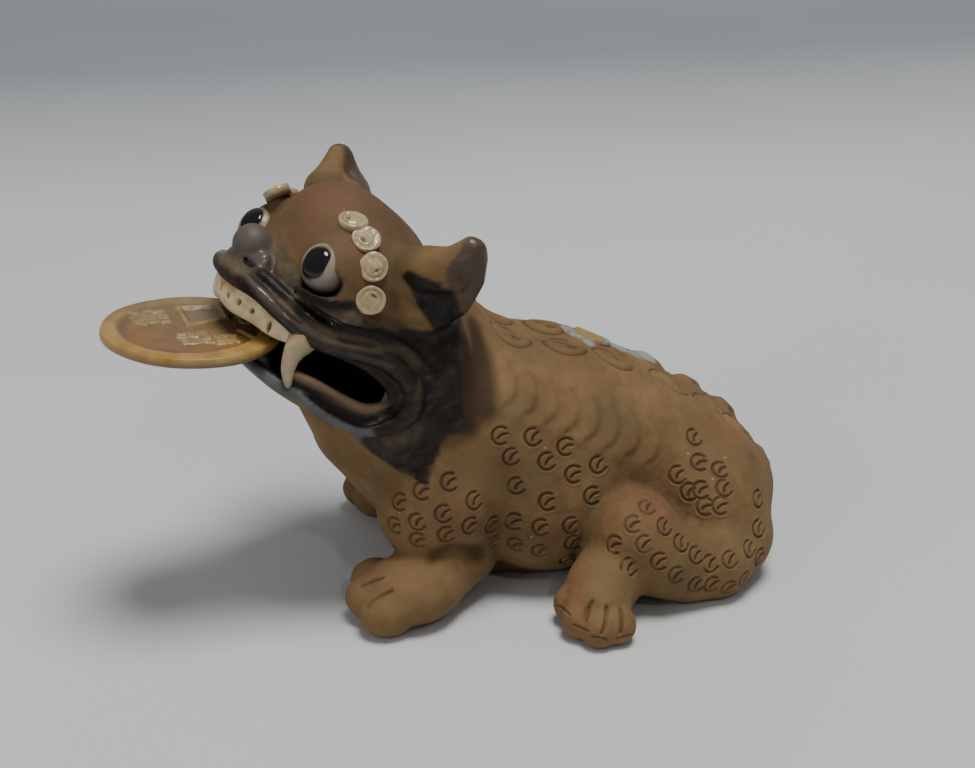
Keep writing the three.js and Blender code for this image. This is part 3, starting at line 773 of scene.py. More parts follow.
def relief(points, strokes, rounds):
    """How far the surface moves out at each point, and how dark its grooves are painted as shade."""
    out = np.zeros(len(points))
    groove = np.zeros(len(points))
    rims = np.zeros(len(points))
    groove_shade = np.zeros(len(points))
    for stroke in strokes:
        near = stroke.near(points)
        if not len(near):
            continue
        deep, rim = stroke.profile(stroke.distance(points[near]))
        groove[near] = np.maximum(groove[near], deep)
        rims[near] = np.maximum(rims[near], np.maximum(rim, -deep))
        groove_shade[near] = np.maximum(groove_shade[near], deep / stroke.depth * stroke.groove_shade)
    for disc in rounds:
        near = disc.near(points)
        d = disc.distance(points[near])
        edge = 1.1 if disc.rise < FLAT_DISC else 3.6
        out[near] += disc.rise * (1 - smooth(DISC_RADIUS - edge, DISC_RADIUS + 0.1, d))
        line = 0.3 * bump_at(d, DISC_RADIUS + 0.2, 0.26)
        # Painted shade in the disc's engraved outline and in its dimples
        dark = 0.85 * bump_at(d, DISC_RADIUS + 0.2, 0.26)
        for spot in disc.dimples:
            hole = np.linalg.norm(points[near] - spot, axis=1)
            line = np.maximum(line, 1.0 * np.exp(-((hole / 1.05) ** 2)))
            dark = np.maximum(dark, np.exp(-((hole / 1.0) ** 2)))
        groove[near] = np.maximum(groove[near], line)
        groove_shade[near] = np.maximum(groove_shade[near], dark)
    out += rims * np.clip(1 - groove * 4, 0, 1) - groove
    return out, groove_shade


def closeness(points, strokes, rounds, longest):
    """True where a stroke or a disc's outline needs triangles with edges as short as this."""
    close = np.zeros(len(points), bool)
    for stroke in strokes:
        if stroke.width > 1.3 * longest:
            continue
        near = stroke.near(points)
        close[near] |= stroke.distance(points[near]) < 1.7 * stroke.width + 0.25
    for disc in rounds:
        near = disc.near(points)
        close[near] |= np.abs(disc.distance(points[near]) - DISC_RADIUS) < 0.8
        for spot in disc.dimples:
            close[near] |= np.linalg.norm(points[near] - spot, axis=1) < 1.6
    return close


# Glaze borders on the side of the head, as (p, q) in its own frame
GLAZE_EDGE = [
    (24, 12), (14, 12.6), (9, 9.2), (3, 6.2), (-1.8, 8.5), (-4.2, 6), (-8, 4.8), (-14.9, 5.2),
    (-15.5, 6.5), (-21, 8.9), (-29.5, 11.5), (-36.2, -1.4), (-40.5, -9), (-36.4, -13.5),
    (-36.8, -19.4), (-36.1, -24.3), (-29.6, -24.3), (-21.6, -22.2), (-19, -21.7), (-13.9, -20.6),
    (-1.4, -17.8), (7.4, -17.2), (12, -17), (24, -16),
]
BAND_EDGE = [
    (12, -13.6), (2, -14.9), (-4.5, -15.1), (-10.5, -15.6), (-17, -15.9), (-20.5, -18.2),
    (-21.6, -22.2), (-19, -21.7), (-13.9, -20.6), (-1.4, -17.8), (7.4, -17.2), (12, -17),
]


def inside_outline(flat, outline):
    """Signed distance to a closed outline in the plane, positive inside."""
    outline = np.array(outline, float)
    best = np.full(len(flat), np.inf)
    within = np.zeros(len(flat), bool)
    for a, b in zip(outline, np.roll(outline, -1, 0)):
        span = b - a
        off = flat - a
        t = np.clip(off @ span / (span @ span), 0, 1)
        best = np.minimum(best, ((off - t[:, None] * span) ** 2).sum(1))
        crosses = (a[1] > flat[:, 1]) != (b[1] > flat[:, 1])
        rise = b[1] - a[1] if b[1] != a[1] else 1e-9
        within ^= crosses & (flat[:, 0] < a[0] + (flat[:, 1] - a[1]) * span[0] / rise)
    return np.where(within, 1, -1) * np.sqrt(best)


# Where the glaze ran thin, with a few painted highlights, and where it lies thick in grooves with
# their shade painted in: three pixels of a brush stroke, half its width in millimetres, and its strength
THIN_GLAZE_AND_HIGHLIGHTS = [
    ((219, 259), (228, 259), (240, 268), 2.3, 0.95),  # front of the upper lip
    ((470, 266), (467, 288), (459, 310), 0.7, 0.6),  # painted highlight streak on the rim of the ear
    ((238, 258), (250, 273), (266, 291), 1.7, 0.8),
    ((266, 291), (284, 307), (306, 322), 1.9, 0.85),
    ((306, 322), (340, 338), (376, 346), 1.9, 0.8),
    ((376, 346), (401, 350), (415, 366), 1.3, 0.6),
    # Painted highlight along the outer edge of the mouth's corner
    ((415, 366), (421, 382), (417, 398), 0.8, 0.4),
    ((276, 232), (284, 250), (296, 272), 4.5, 1.0),  # side of the muzzle
    ((292, 291), (312, 304), (342, 315), 2.2, 0.7),  # under the eye
    ((350, 296), (356, 306), (354, 318), 2.2, 0.8),
    ((392, 440), (402, 437), (414, 431), 2.4, 0.6),  # painted highlight on the jowl
    ((372, 318), (392, 322), (425, 324), 2.0, 0.5),
]
THICK_GLAZE_AND_GROOVE_SHADE = [
    ((262, 276), (273, 284), (290, 289), 2.3, 1.0),  # groove behind the nose
    ((305, 291), (322, 303), (350, 302), 1.9, 1.0),  # groove under the eye
    ((300, 309), (328, 323), (372, 332), 1.5, 1.0),  # groove over the lip's second roll
    ((372, 332), (400, 337), (428, 334), 2.0, 1.0),
    ((250, 274), (272, 299), (300, 322), 0.6, 0.8),
]
# Painted shade under the last rosette, on the neck behind the jowl and below the jowl
SHADE_STROKES = [
    ((372, 316), (386, 322), (398, 328), 1.7, 0.6),  # under the last rosette
    ((464, 345), (469, 380), (467, 424), 3.4, 0.9),  # neck behind the jowl
    ((474, 330), (480, 366), (483, 408), 3.8, 0.85),
    ((440, 436), (452, 440), (470, 428), 2.4, 0.5),
]


WET_GLAZE = [
    ((240, 268), (262, 296), (300, 334), 0.8, 1.0),  # crest of the upper lip
    ((300, 334), (345, 352), (392, 366), 0.8, 0.6),
    ((461, 254), (467, 244), (475, 239), 1.6, 1.0),  # tip of the ear
    ((300, 306), (320, 318), (345, 322), 1.0, 0.7),  # under the eye
    ((262, 252), (265, 261), (270, 272), 1.2, 0.6),  # wing of the nose
]


def brush(pixels, width, strength):
    """A brush stroke on the near side of the head, in the head's own frame."""
    line = settle(seen(bent(*pixels, 7)))
    return Stroke(into_head(line), width, strength)


def painted(local, strokes):
    """How strongly points of the head lie under soft brush strokes, on either side."""
    near, _ = folded(local)
    whole = np.zeros(len(local))
    for start, middle, end, width, strength in strokes:
        stroke = brush((start, middle, end), width, strength)
        reached = stroke.near(near)
        d = stroke.distance(near[reached])
        whole[reached] = np.maximum(whole[reached], strength * smooth(1.5 * width, 0.4 * width, d))
    return whole


# Black hollow of the ear, dark glaze with its shadow painted in, and brown rim of the ear, in pixels
EAR_HOLLOW_GLAZE_AND_SHADOW = [
    (401, 276), (410, 271), (424, 277), (440, 285), (452, 290), (458, 302), (466, 322),
    (469, 345), (440, 346), (431, 327), (420, 309), (410, 291),
]
EAR_RIM = [
    (455, 258), (462, 246), (470, 234), (482, 234), (491, 255), (490, 290), (480, 314),
    (468, 324), (462, 318), (456, 302), (450, 288), (448, 272),
]


def in_photo(near):
    """Pixels at which points of the head, folded to the near side, would be."""
    points = HEAD_MIDDLE + near @ HEAD_AXES - CAMERA
    depth = -(points @ VIEW_BACK)
    across = PHOTO_WIDTH / 2 + FOCAL_PIXELS * (points @ VIEW_RIGHT) / depth
    down = PHOTO_HEIGHT / 2 - FOCAL_PIXELS * (points @ VIEW_UP) / depth
    return np.stack([across, down], 1)


def cavity(points, out, reach=1.6):
    """0 on swelling forms and up to 1 in creases of the clay."""
    return np.clip(1.15 * (1 - clay(points + out * reach) / reach), 0, 1)


def masks(points, out):
    """Where each finish lies, from 0 to 1 at each point."""
    local, s = folded(into_head(points))
    u, p, q = local.T
    wander = 0.45 * undulation(points * 2.2) + 0.12 * undulation(points * 9)
    on_head = (local**2).sum(1) < HEAD_SPREAD**2
    edge = inside_outline(local[:, 1:], GLAZE_EDGE) + wander
    side = smooth(9, 13, u + np.where(p > 4, 6, 0))
    side = np.maximum(side, smooth(6.5, 5.2, q) * smooth(5, 8, p))
    glaze = smooth(-0.5, 0.5, edge) * side
    nose = smooth(1.1, -0.3, np.minimum(NOSE(local, s), NOSE_WINGS(local, s)))
    pixels = in_photo(local - np.where(s[:, None] < 0, EAR_SHIFT, 0)) + 1.5 * undulation(points * 3)[:, None]
    on_ear = smooth(16, 20, u) * smooth(4, 8, q) * smooth(-34, -28, p)
    # Dark glaze in the ear's hollow, blackened as its painted shadow
    ear = smooth(-2, 2, inside_outline(pixels, EAR_HOLLOW_GLAZE_AND_SHADOW)) * on_ear
    rim = smooth(-2.5, 2.5, inside_outline(pixels, EAR_RIM)) * on_ear
    # Insides of the mouth and the nostrils, painted near black: dark glaze with their shade painted in
    mouth_wall = np.maximum(smooth(0.8, -0.4, mouth(local, s)), smooth(0.5, 0.0, NOSTRILS(local, s)))
    inner = smooth(0.9, -0.3, INNER_LIP(local - [0, 0, 0.5], s)) * smooth(-1.2, 1.0, LIP_GROOVE(local, s))
    lip_groove = smooth(1.0, 0.3, LIP_GROOVE(local, s)) * (1 - inner)
    band = smooth(-0.4, 0.4, inside_outline(local[:, 1:], BAND_EDGE)) * (1 - lip_groove)
    # Dark glaze carried into the socket under the eye, painted there as the groove's shadow
    below_eye = smooth(-1.5, 3, -0.6 * (p - EYE[1]) - 0.8 * (q - EYE[2]))
    socket = smooth(0.8, 0.2, SOCKETS(local, s)) * below_eye
    marks = {
        "glaze": np.maximum.reduce([glaze, ear, rim, socket]),
        "ear_rim": rim * (1 - ear),
        "nose": nose,
        "hollow": mouth_wall * (1 - inner),
        "inner_lip": inner,
        "band": band * (1 - inner),
        # Thin glaze, with painted highlights on the ear's rim, the mouth's corner and the jowl
        "thin": painted(into_head(points), THIN_GLAZE_AND_HIGHLIGHTS),
        # Glaze lying thick in grooves and in the ear's hollow, with their shade painted in
        "thick_glaze_and_shade": np.maximum.reduce([painted(into_head(points), THICK_GLAZE_AND_GROOVE_SHADE), ear, lip_groove]),
        # Painted shade under the last rosette, behind the jowl and below it
        "painted_shade": painted(into_head(points), SHADE_STROKES),
        "wet": painted(into_head(points), WET_GLAZE),
    }
    marks = {name: mark * on_head for name, mark in marks.items()}
    # Painted shade over the top of the head, with a slight purple tint
    marks["skull_shade"] = smooth(-33, -25, p) * smooth(5, 12, q) * smooth(28, 23, u) * on_head
    marks["cavity"] = cavity(points, out)
    marks["blush"] = blush(points, local)
    marks["slip"] = slip(points, out)
    marks["ochre"] = ochre(points, out)
    return marks


def spots_of(points, places):
    """Soft patches: the middle, the reach and the strength of each."""
    whole = np.zeros(len(points))
    for middle, reach, strength in places:
        d = np.linalg.norm(points - np.array(middle, float), axis=1) / reach
        whole = np.maximum(whole, strength * np.exp(-(d**2)))
    return whole


def blush(points, local):
    near, _ = folded(points)
    body = spots_of(near, [
        ([34, 42, 26], 9, 1.0),  # knee
        ([40, 20, 5], 11, 0.8),  # hind toes
        ([30, -24, 7], 9, 0.8),  # front toes
        ([12, 24, 58], 6, 0.5),
        ([12, 66, 30], 12, 0.6),
    ])
    return np.maximum(body, spots_of(local, [([4, 4, 24], 13, 1.0), ([0, -12, 26], 12, 0.5)]))


# White slip that is left on the spine, round an oval of ochre: (x, y) seen from above
SLIP_EDGE = [
    (-8, 27.6), (-4.3, 28.3), (-2.5, 30), (-0.6, 33.4), (-2, 35.5), (-4.3, 36.8), (-5.6, 40), (-4.9, 43.4),
    (-5.8, 49.6), (-7.7, 52), (-12, 50), (-14.5, 44), (-13, 38), (-15, 32), (-12, 27),
]
OCHRE_MIDDLE = (-8, 35)
OCHRE_RADII = (3.9, 3.6)


def slip(points, out):
    flat = points[:, :2] + 0.4 * np.stack([np.sin(points[:, 1] * 1.3), np.sin(points[:, 0] * 1.7)], 1)
    return smooth(-0.3, 0.4, inside_outline(flat, SLIP_EDGE)) * smooth(0.4, 0.6, out[:, 2]) * smooth(38, 40, points[:, 2])


def ochre(points, out):
    d = np.linalg.norm((points[:, :2] - OCHRE_MIDDLE) / OCHRE_RADII, axis=1)
    return smooth(1.08, 0.95, d) * smooth(0.4, 0.6, out[:, 2])


# Meshes
def mesh_object(name, points, faces, attributes=None):
    """A smooth mesh in metres, in the frame's place."""
    mesh = bpy.data.meshes.new(name)
    mesh.from_pydata(((points + SHIFT) * MM).tolist(), [], faces.tolist() if hasattr(faces, "tolist") else faces)
    for key, values in (attributes or {}).items():
        mesh.attributes.new(key, "FLOAT", "POINT").data.foreach_set("value", values.astype(np.float32))
    mesh.polygons.foreach_set("use_smooth", [True] * len(mesh.polygons))
    mesh.update()
    piece = bpy.data.objects.new(name, mesh)
    bpy.context.scene.collection.objects.link(piece)
    return piece


def place(piece, node, material):
    piece.data.materials.append(material)
    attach(piece, "root")
    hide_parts(node)
    return piece


FACE_REGION = -26  # p beyond which the head's folds need finer triangles
FACE_EDGE = 0.8
RELIEF_EDGE = 0.36


def clay_body(material):
    points, faces = net(clay, NET_LOW, NET_HIGH, NET_STEP)
    points = settle(points, 2)
    strokes = stamps() + ribs() + toe_lines()
    rounds = discs()
    local = into_head(points)
    on_face = (local[:, 1] > FACE_REGION) & (np.abs(local[:, 0]) < 32) & (np.abs(local[:, 2]) < 27)
    points, faces = refine(points, faces, on_face[faces].any(1), FACE_EDGE)
    for longest in (1.0, RELIEF_EDGE * 1.5, RELIEF_EDGE):
        close = closeness(points, strokes, rounds, longest)
        points, faces = refine(points, faces, close[faces].any(1), longest)
    points = settle(points, 2, 0.3)
    out = normals_of(points, faces)
    move, groove = relief(points, strokes, rounds)
    move += lip_folds(points)
    move += 0.12 * undulation(points) - 0.12
    marks = masks(points, out)
    # Painted shade in the grooves of the stamps, slits, folds and disc outlines
    marks["groove"] = np.clip(groove, 0, 1)
    move[points[:, 2] < 0.3] = 0
    points = points + out * move[:, None]
    points[:, 2] = np.maximum(points[:, 2], 0)
    clay_parts(points, faces, marks, material)


# The clay's mesh is kept in three parts that meet at these distances along the figure
CLAY_PARTS = {"clay_front": (-99, 0), "clay_middle": (0, 45), "clay_rear": (45, 99)}


def clay_parts(points, faces, marks, material):
    out = normals_of(points, faces)
    along = points[faces].mean(1)[:, 1]
    for name, (start, end) in CLAY_PARTS.items():
        used, corners = np.unique(faces[(along >= start) & (along < end)], return_inverse=True)
        part_marks = {key: values[used] for key, values in marks.items()}
        piece = mesh_object(name, points[used], corners.reshape(-1, 3), part_marks)
        # The whole clay's own normals, so that the parts shade as one
        piece.data.normals_split_custom_set_from_vertices(out[used].tolist())
        place(piece, "figure", material)


def grid_faces(rows, columns, closed=True):
    """Quads over a grid of points, whose rows close on themselves."""
    faces = []
    for r in range(rows - 1):
        for c in range(columns if closed else columns - 1):
            n = (c + 1) % columns
            faces.append((r * columns + c, r * columns + n, (r + 1) * columns + n, (r + 1) * columns + c))
    return faces


# Which way each pupil looks, as a point of the ball, for the left and the right eye
LOOKS = {1: np.array([0.50, 0.86, 0.15]), -1: np.array([0.31, 0.88, 0.36])}
PUPIL = (2.95, 3.8)  # half its width and half its height
PUPIL_LEAN = {1: 0.0, -1: 0.3}


def sphere(rows, columns):
    """Points and faces of a ball of radius 1."""
    polar = np.linspace(0, math.pi, rows)[1:-1]
    around = np.linspace(0, 2 * math.pi, columns, endpoint=False)
    ring = np.stack([
        np.sin(polar)[:, None] * np.cos(around),
        np.sin(polar)[:, None] * np.sin(around),
        np.cos(polar)[:, None] * np.ones(columns),
    ], -1).reshape(-1, 3)
    points = np.concatenate([[[0, 0, 1]], ring, [[0, 0, -1]]])
    last = len(points) - 1
    faces = [tuple(1 + i for i in f)[::-1] for f in grid_faces(rows - 2, columns)]
    faces += [(0, 1 + c, 1 + (c + 1) % columns) for c in range(columns)]
    faces += [(last, last - columns + (c + 1) % columns, last - columns + c) for c in range(columns)]
    return points, faces


def eye(hand, material):
    """Eyeball with a raised drop of black glaze as its pupil."""
    middle = EYE if hand > 0 else EYE + EYE_SHIFT
    middle = middle * [hand, 1, 1]
    unit, faces = sphere(110, 160)
    look = LOOKS[hand] / np.linalg.norm(LOOKS[hand])
    across = np.cross(look, [0, 0, 1.0])
    across /= np.linalg.norm(across)
    rise = np.cross(across, look)
    spots = unit * EYE_RADII
    ahead = unit @ look > 0
    lean = PUPIL_LEAN[hand] * (spots @ rise)
    d = np.hypot((spots @ across + lean) / PUPIL[0], spots @ rise / PUPIL[1])
    d = d + 0.04 * np.sin(4 * np.arctan2(spots @ rise, spots @ across) + 1)
    marks = {
        "pupil": smooth(1.03, 0.97, d) * ahead,
        "halo": smooth(1.2, 1.04, d) * ahead * smooth(-1.5, 2.5, spots @ across * -hand + 1.5),
        # Painted shade on the lower part of the ball and on its side away from the pupil
        "low": smooth(0.35, -0.55, unit[:, 2]),
        "back": smooth(0.85, 0.25, unit @ look),
    }
    spots = spots * (1 + 0.035 * smooth(1.1, 0.8, d) * ahead)[:, None]
    points = HEAD_MIDDLE + (spots + middle) @ HEAD_AXES
    name = "eye_left" if hand > 0 else "eye_right"
    return place(mesh_object(name, points, faces, marks), "figure", material)


# Pressed rosettes over the eyes: place and facing in the head's frame, left then right
ROSETTES = {
    1: [
        (14.6, 2.2, 22.2, 0.28, 0.4, 0.87),
        (18.7, -0.4, 20.3, 0.62, 0.42, 0.66),
        (22.8, -2.6, 16.2, 0.87, 0.42, 0.2),
        (24.9, -4.6, 9.9, 0.89, 0.43, -0.05),
    ],
    -1: [
        (-16, 7.5, 18.6, -0.5, 0.6, 0.62),
        (-19.5, 3.5, 18, -0.55, 0.3, 0.78),
        (-23, -1, 14.5, -0.85, 0.35, 0.4),
        (-25, -4, 9.5, -0.95, 0.2, 0),
    ],
}
ROSETTE_TURNS = [2.5, 3.6, 5.3, 0.9]  # way that the pressed crescent of each one faces


def rosette_form(x, y, turn):
    """Height of the face of a rosette, and how deep the glaze pools on it."""
    r = np.hypot(x, y)
    toward = (x * math.cos(turn) + y * math.sin(turn)) / np.maximum(r, 0.3)
    ring = bump_at(r - 0.3 * toward, 2.1, 0.42) * (0.45 + 0.55 * np.clip(toward, -0.4, 1))
    cx, cy = 0.35 * math.cos(turn + 2.4), 0.35 * math.sin(turn + 2.4)
    knob = np.exp(-((x + cx) ** 2 + (y + cy) ** 2) / 1.3)
    dx, dy = x - 1.15 * math.cos(turn), y - 1.15 * math.sin(turn)
    along = dy * math.cos(turn) - dx * math.sin(turn)
    over = dx * math.cos(turn) + dy * math.sin(turn)
    dent = np.exp(-((along / 0.75) ** 2 + (over / 0.38) ** 2))
    cushion = np.sqrt(np.clip(1 - (np.clip(r - 2.45, 0, 1.04) / 1.05) ** 2, 0, 1))
    uneven = 0.06 * np.sin(3.1 * x + turn) * np.sin(2.7 * y + 2 * turn)
    height = 0.35 + 0.75 * cushion - 0.34 * ring + 0.3 * knob - 0.5 * dent + uneven
    return height, np.clip(0.45 * ring + 0.9 * dent, 0, 1)


def rosette(name, place_, turn, material):
    """A button of clay, pressed with a crescent beside an off-centre knob."""
    out = np.array(place_[3:]) @ HEAD_AXES
    out /= np.linalg.norm(out)
    middle = settle(head_point(*place_[:3])[None], 10)[0] - 0.15 * out
    right, up = tangents(out)
    rings, columns = 44, 88
    radius = np.linspace(0, 1, rings)[1:] * ROSETTE_RADIUS
    angle = np.linspace(0, 2 * math.pi, columns, endpoint=False)
    r, a = (v.ravel() for v in np.meshgrid(radius, angle, indexing="ij"))
    wobble = 1 + 0.02 * np.sin(2 * a + turn) + 0.015 * np.sin(5 * a)
    wobble /= wobble.max()
    x = np.concatenate([[0], r * np.cos(a) * wobble, 0.93 * ROSETTE_RADIUS * np.cos(angle)])
    y = np.concatenate([[0], r * np.sin(a) * wobble, 0.93 * ROSETTE_RADIUS * np.sin(angle)])
    height, pool = rosette_form(x, y, turn)
    height[-columns:] = -1.4
    pool[-columns:] = 0.8
    points = middle + x[:, None] * right + y[:, None] * up + height[:, None] * out
    count = len(points)
    faces = [tuple(1 + i for i in f)[::-1] for f in grid_faces(rings, columns)]
    faces += [(0, 1 + c, 1 + (c + 1) % columns) for c in range(columns)]
    faces.append(tuple(range(count - columns, count))[::-1])
    marks = {"pool": pool, "tint": np.zeros(count)}
    return place(mesh_object(name, points, faces, marks), "figure", material)


# Upper teeth: one smooth band with small holes punched in it, and two fangs
TEETH_SPAN = math.radians(60)
TEETH_BACK = -14.5  # p of the middle of the band's curve
TEETH_SIZE = (20.9, 31.0)  # across and out, to the middle of the band
TEETH_THICK = 1.25
# Each hole on both sides: degrees round the curve, height q, half its width and height, depth
TEETH_HOLES = [
    (4.5, -4.0, 0.34, 1.1, 1.1),
    (13, -4.4, 0.4, 0.62, 1.1),
    (21.5, -4.2, 0.5, 0.6, 1.2),
    (30.5, -4.4, 0.5, 0.55, 1.0),
    (41.5, -5.6, 0.4, 1.2, 1.1),
]


def teeth_section():
    """Outline of the band: across it and up it, the front in fine steps."""
    front = np.linspace(-1, 1, 60)
    back = np.linspace(1, -1, 14)[1:-1]
    up = np.concatenate([front, back])
    side = (1 - np.abs(up) ** 3.2) ** (1 / 3.2)
    side[len(front):] *= -1
    return side, up


def teeth(material):
    side, up = teeth_section()
    turns = np.linspace(-TEETH_SPAN, TEETH_SPAN, 560)
    t, side = np.meshgrid(turns, side, indexing="ij")
    _, up = np.meshgrid(turns, up, indexing="ij")
    q = -3.5 + 3.7 * up
    front = np.clip(side * 2, 0, 1)
    hole = np.zeros_like(q)
    inward = 0.3 * smooth(-5, -7.4, q) * front
    for degrees, level, half_width, half_height, depth in TEETH_HOLES:
        for hand in (1, -1):
            arc = (t - hand * math.radians(degrees)) * 24
            pit = np.exp(-((arc / half_width) ** 2 + ((q - level) / half_height) ** 2) ** 1.5)
            hole = np.maximum(hole, pit)
            inward = np.maximum(inward, pit * depth * front)
    q = q + 0.22 * np.sin(t * 13 + 1) * smooth(-4, -7, q) + 0.25 * np.cos(t * 4.6) * smooth(-3, -7, q)
    swell = TEETH_THICK * side + 0.12 * np.sin(t * 9) - inward
    u = (TEETH_SIZE[0] + swell) * np.sin(t)
    p = TEETH_BACK + (TEETH_SIZE[1] + 0.5 * up + swell) * np.cos(t)
    local = np.stack([u.ravel(), p.ravel(), q.ravel()], 1)
    columns = side.shape[1]
    faces = grid_faces(len(turns), columns)
    faces += [tuple(range(columns))[::-1], tuple(range(len(local) - columns, len(local)))]
    tint = smooth(-3.9, -0.9, q + 0.8 * np.sin(t * 11) + 0.4 * np.sin(t * 29)).ravel()
    marks = {"pool": hole.ravel(), "tint": tint}
    points = HEAD_MIDDLE + local @ HEAD_AXES
    return place(mesh_object("teeth", points, faces, marks), "figure", material)


FANG = [
    (19.5, 3.0, -4.4, 3.6), (19.8, 3.5, -5.8, 3.2), (20.1, 4.0, -7.4, 2.6), (20.4, 4.2, -9.5, 2.0),
    (20.8, 3.9, -11.8, 1.6), (21.1, 3.0, -13.8, 1.15), (21.3, 2.3, -15.1, 0.75), (21.4, 2.0, -15.6, 0.2),
]


def fang(hand, material):
    knots = np.array(FANG) * [hand, 1, 1, 1]
    t = np.linspace(0, len(knots) - 1, 60)
    line = np.stack([np.interp(t, range(len(knots)), knots[:, i]) for i in range(4)], 1)
    for _ in range(6):
        line[1:-1] = (line[:-2] + 2 * line[1:-1] + line[2:]) / 4
    columns = 24
    angle = np.linspace(0, 2 * math.pi, columns, endpoint=False)
    along = np.gradient(line[:, :3], axis=0)
    along /= np.linalg.norm(along, axis=1)[:, None]
    a = np.cross([1.0, 0, 0], along)
    a /= np.linalg.norm(a, axis=1)[:, None]
    b = np.cross(along, a)
    ring = line[:, None, 3:] * (a[:, None] * np.cos(angle)[:, None] + 0.8 * b[:, None] * np.sin(angle)[:, None])
    local = (line[:, None, :3] + ring).reshape(-1, 3)
    points = HEAD_MIDDLE + local @ HEAD_AXES
    faces = grid_faces(len(line), columns)
    faces += [tuple(range(columns))[::-1], tuple(range(len(points) - columns, len(points)))]
    if hand > 0:
        faces = [f[::-1] for f in faces]
    tint = smooth(-7, -2, local[:, 2])
    name = "fang_left" if hand > 0 else "fang_right"
    marks = {"pool": 0.3 * smooth(-13.5, -15.5, local[:, 2]), "tint": tint}
    return place(mesh_object(name, points, faces, marks), "figure", material)


# Coin: x runs to the near side of it and y back into the mouth, from its middle
SQUARE = [(-13.2, 0.7), (-12.0, 10.0), (-2.9, 9.3), (-1.8, -0.4)]  # corners of the raised frame
SIGNS = [  # middle of each group of strokes, its size and its lean
    (-8.8, -7.0, 1.0, 0.08),
    (6.4, -1.4, 0.85, 0.35),
    (9.0, 5.0, 0.6, 0.5),
    (-1.5, 14.3, 0.6, 0.1),
]
WORN_STROKE = ((4.6, 9.7), (10.9, 11.2))
RIM_MIDDLE = (-0.2, -0.6)
RIM_INSIDE = 15.7


def bar_height(x, y, start, end, width=0.85):
    """1 on a straight raised bar with round shoulders, 0 off it."""
    start, end = np.array(start), np.array(end)
    span = end - start
    t = np.clip(((x - start[0]) * span[0] + (y - start[1]) * span[1]) / (span @ span), 0, 1)
    d = np.hypot(x - start[0] - t * span[0], y - start[1] - t * span[1])
    return smooth(width, 0.3 * width, d)


def coin_sign(x, y, sign, seed):
    """Short rows of raised strokes that spell nothing."""
    across, along, size, lean = sign
    rng = np.random.default_rng(seed)
    whole = np.zeros_like(x)
    for row in (-3.4, -1.2, 1.1, 3.3):
        for column in (-2.6, 0, 2.6):
            middle = np.array([row, column]) + rng.uniform(-0.35, 0.35, 2)
            angle = lean + rng.uniform(-0.5, 0.5)
            half = rng.uniform(0.7, 1.5) * np.array([math.sin(angle), math.cos(angle)])
            start, end = (np.array([across, along]) + size * (middle + v) for v in (-half, half))
            whole = np.maximum(whole, bar_height(x, y, start, end, 0.9 * size + 0.25))
    return whole


def in_square(x, y):
    """Distance to the inside of the frame on the coin, negative within."""
    worst = np.full_like(x, -np.inf)
    for a, b in zip(SQUARE, SQUARE[1:] + SQUARE[:1]):
        span = np.array(b) - np.array(a)
        span /= np.linalg.norm(span)
        worst = np.maximum(worst, (x - a[0]) * -span[1] + (y - a[1]) * span[0])
    return worst


def coin_face(x, y):
    """Height of the coin's upper face, and where its rim and its raised lines are."""
    r = np.hypot(x, y)
    inner = np.hypot(x - RIM_MIDDLE[0], y - RIM_MIDDLE[1])
    rim = smooth(RIM_INSIDE - 0.5, RIM_INSIDE + 0.9, inner + 0.3 * np.sin(3 * np.arctan2(y, x)))
    raised = np.zeros_like(x)
    for a, b in zip(SQUARE, SQUARE[1:] + SQUARE[:1]):
        raised = np.maximum(raised, bar_height(x, y, a, b, 0.95))
    for number, sign in enumerate(SIGNS):
        raised = np.maximum(raised, 0.8 * coin_sign(x, y, sign, 11 + number))
    raised = np.maximum(raised, bar_height(x, y, *WORN_STROKE, 1.0)) * (1 - rim)
    hollow = smooth(-0.7, -1.6, in_square(x, y))
    worn = 0.55 + 0.45 * smooth(-20, -8, x)
    top = COIN_THICK / 2 - 0.1 - 0.6 * (1 - rim * worn) + 0.5 * raised - 0.35 * hollow
    top -= 0.35 * smooth(COIN_RADIUS - 2.2, COIN_RADIUS - 0.6, r) ** 2
    top += 0.06 * np.sin(x * 0.9 + 1) * np.sin(y * 0.8) + 0.03 * np.sin(2.3 * x) * np.sin(1.9 * y + 1)
    return top, rim, raised, hollow


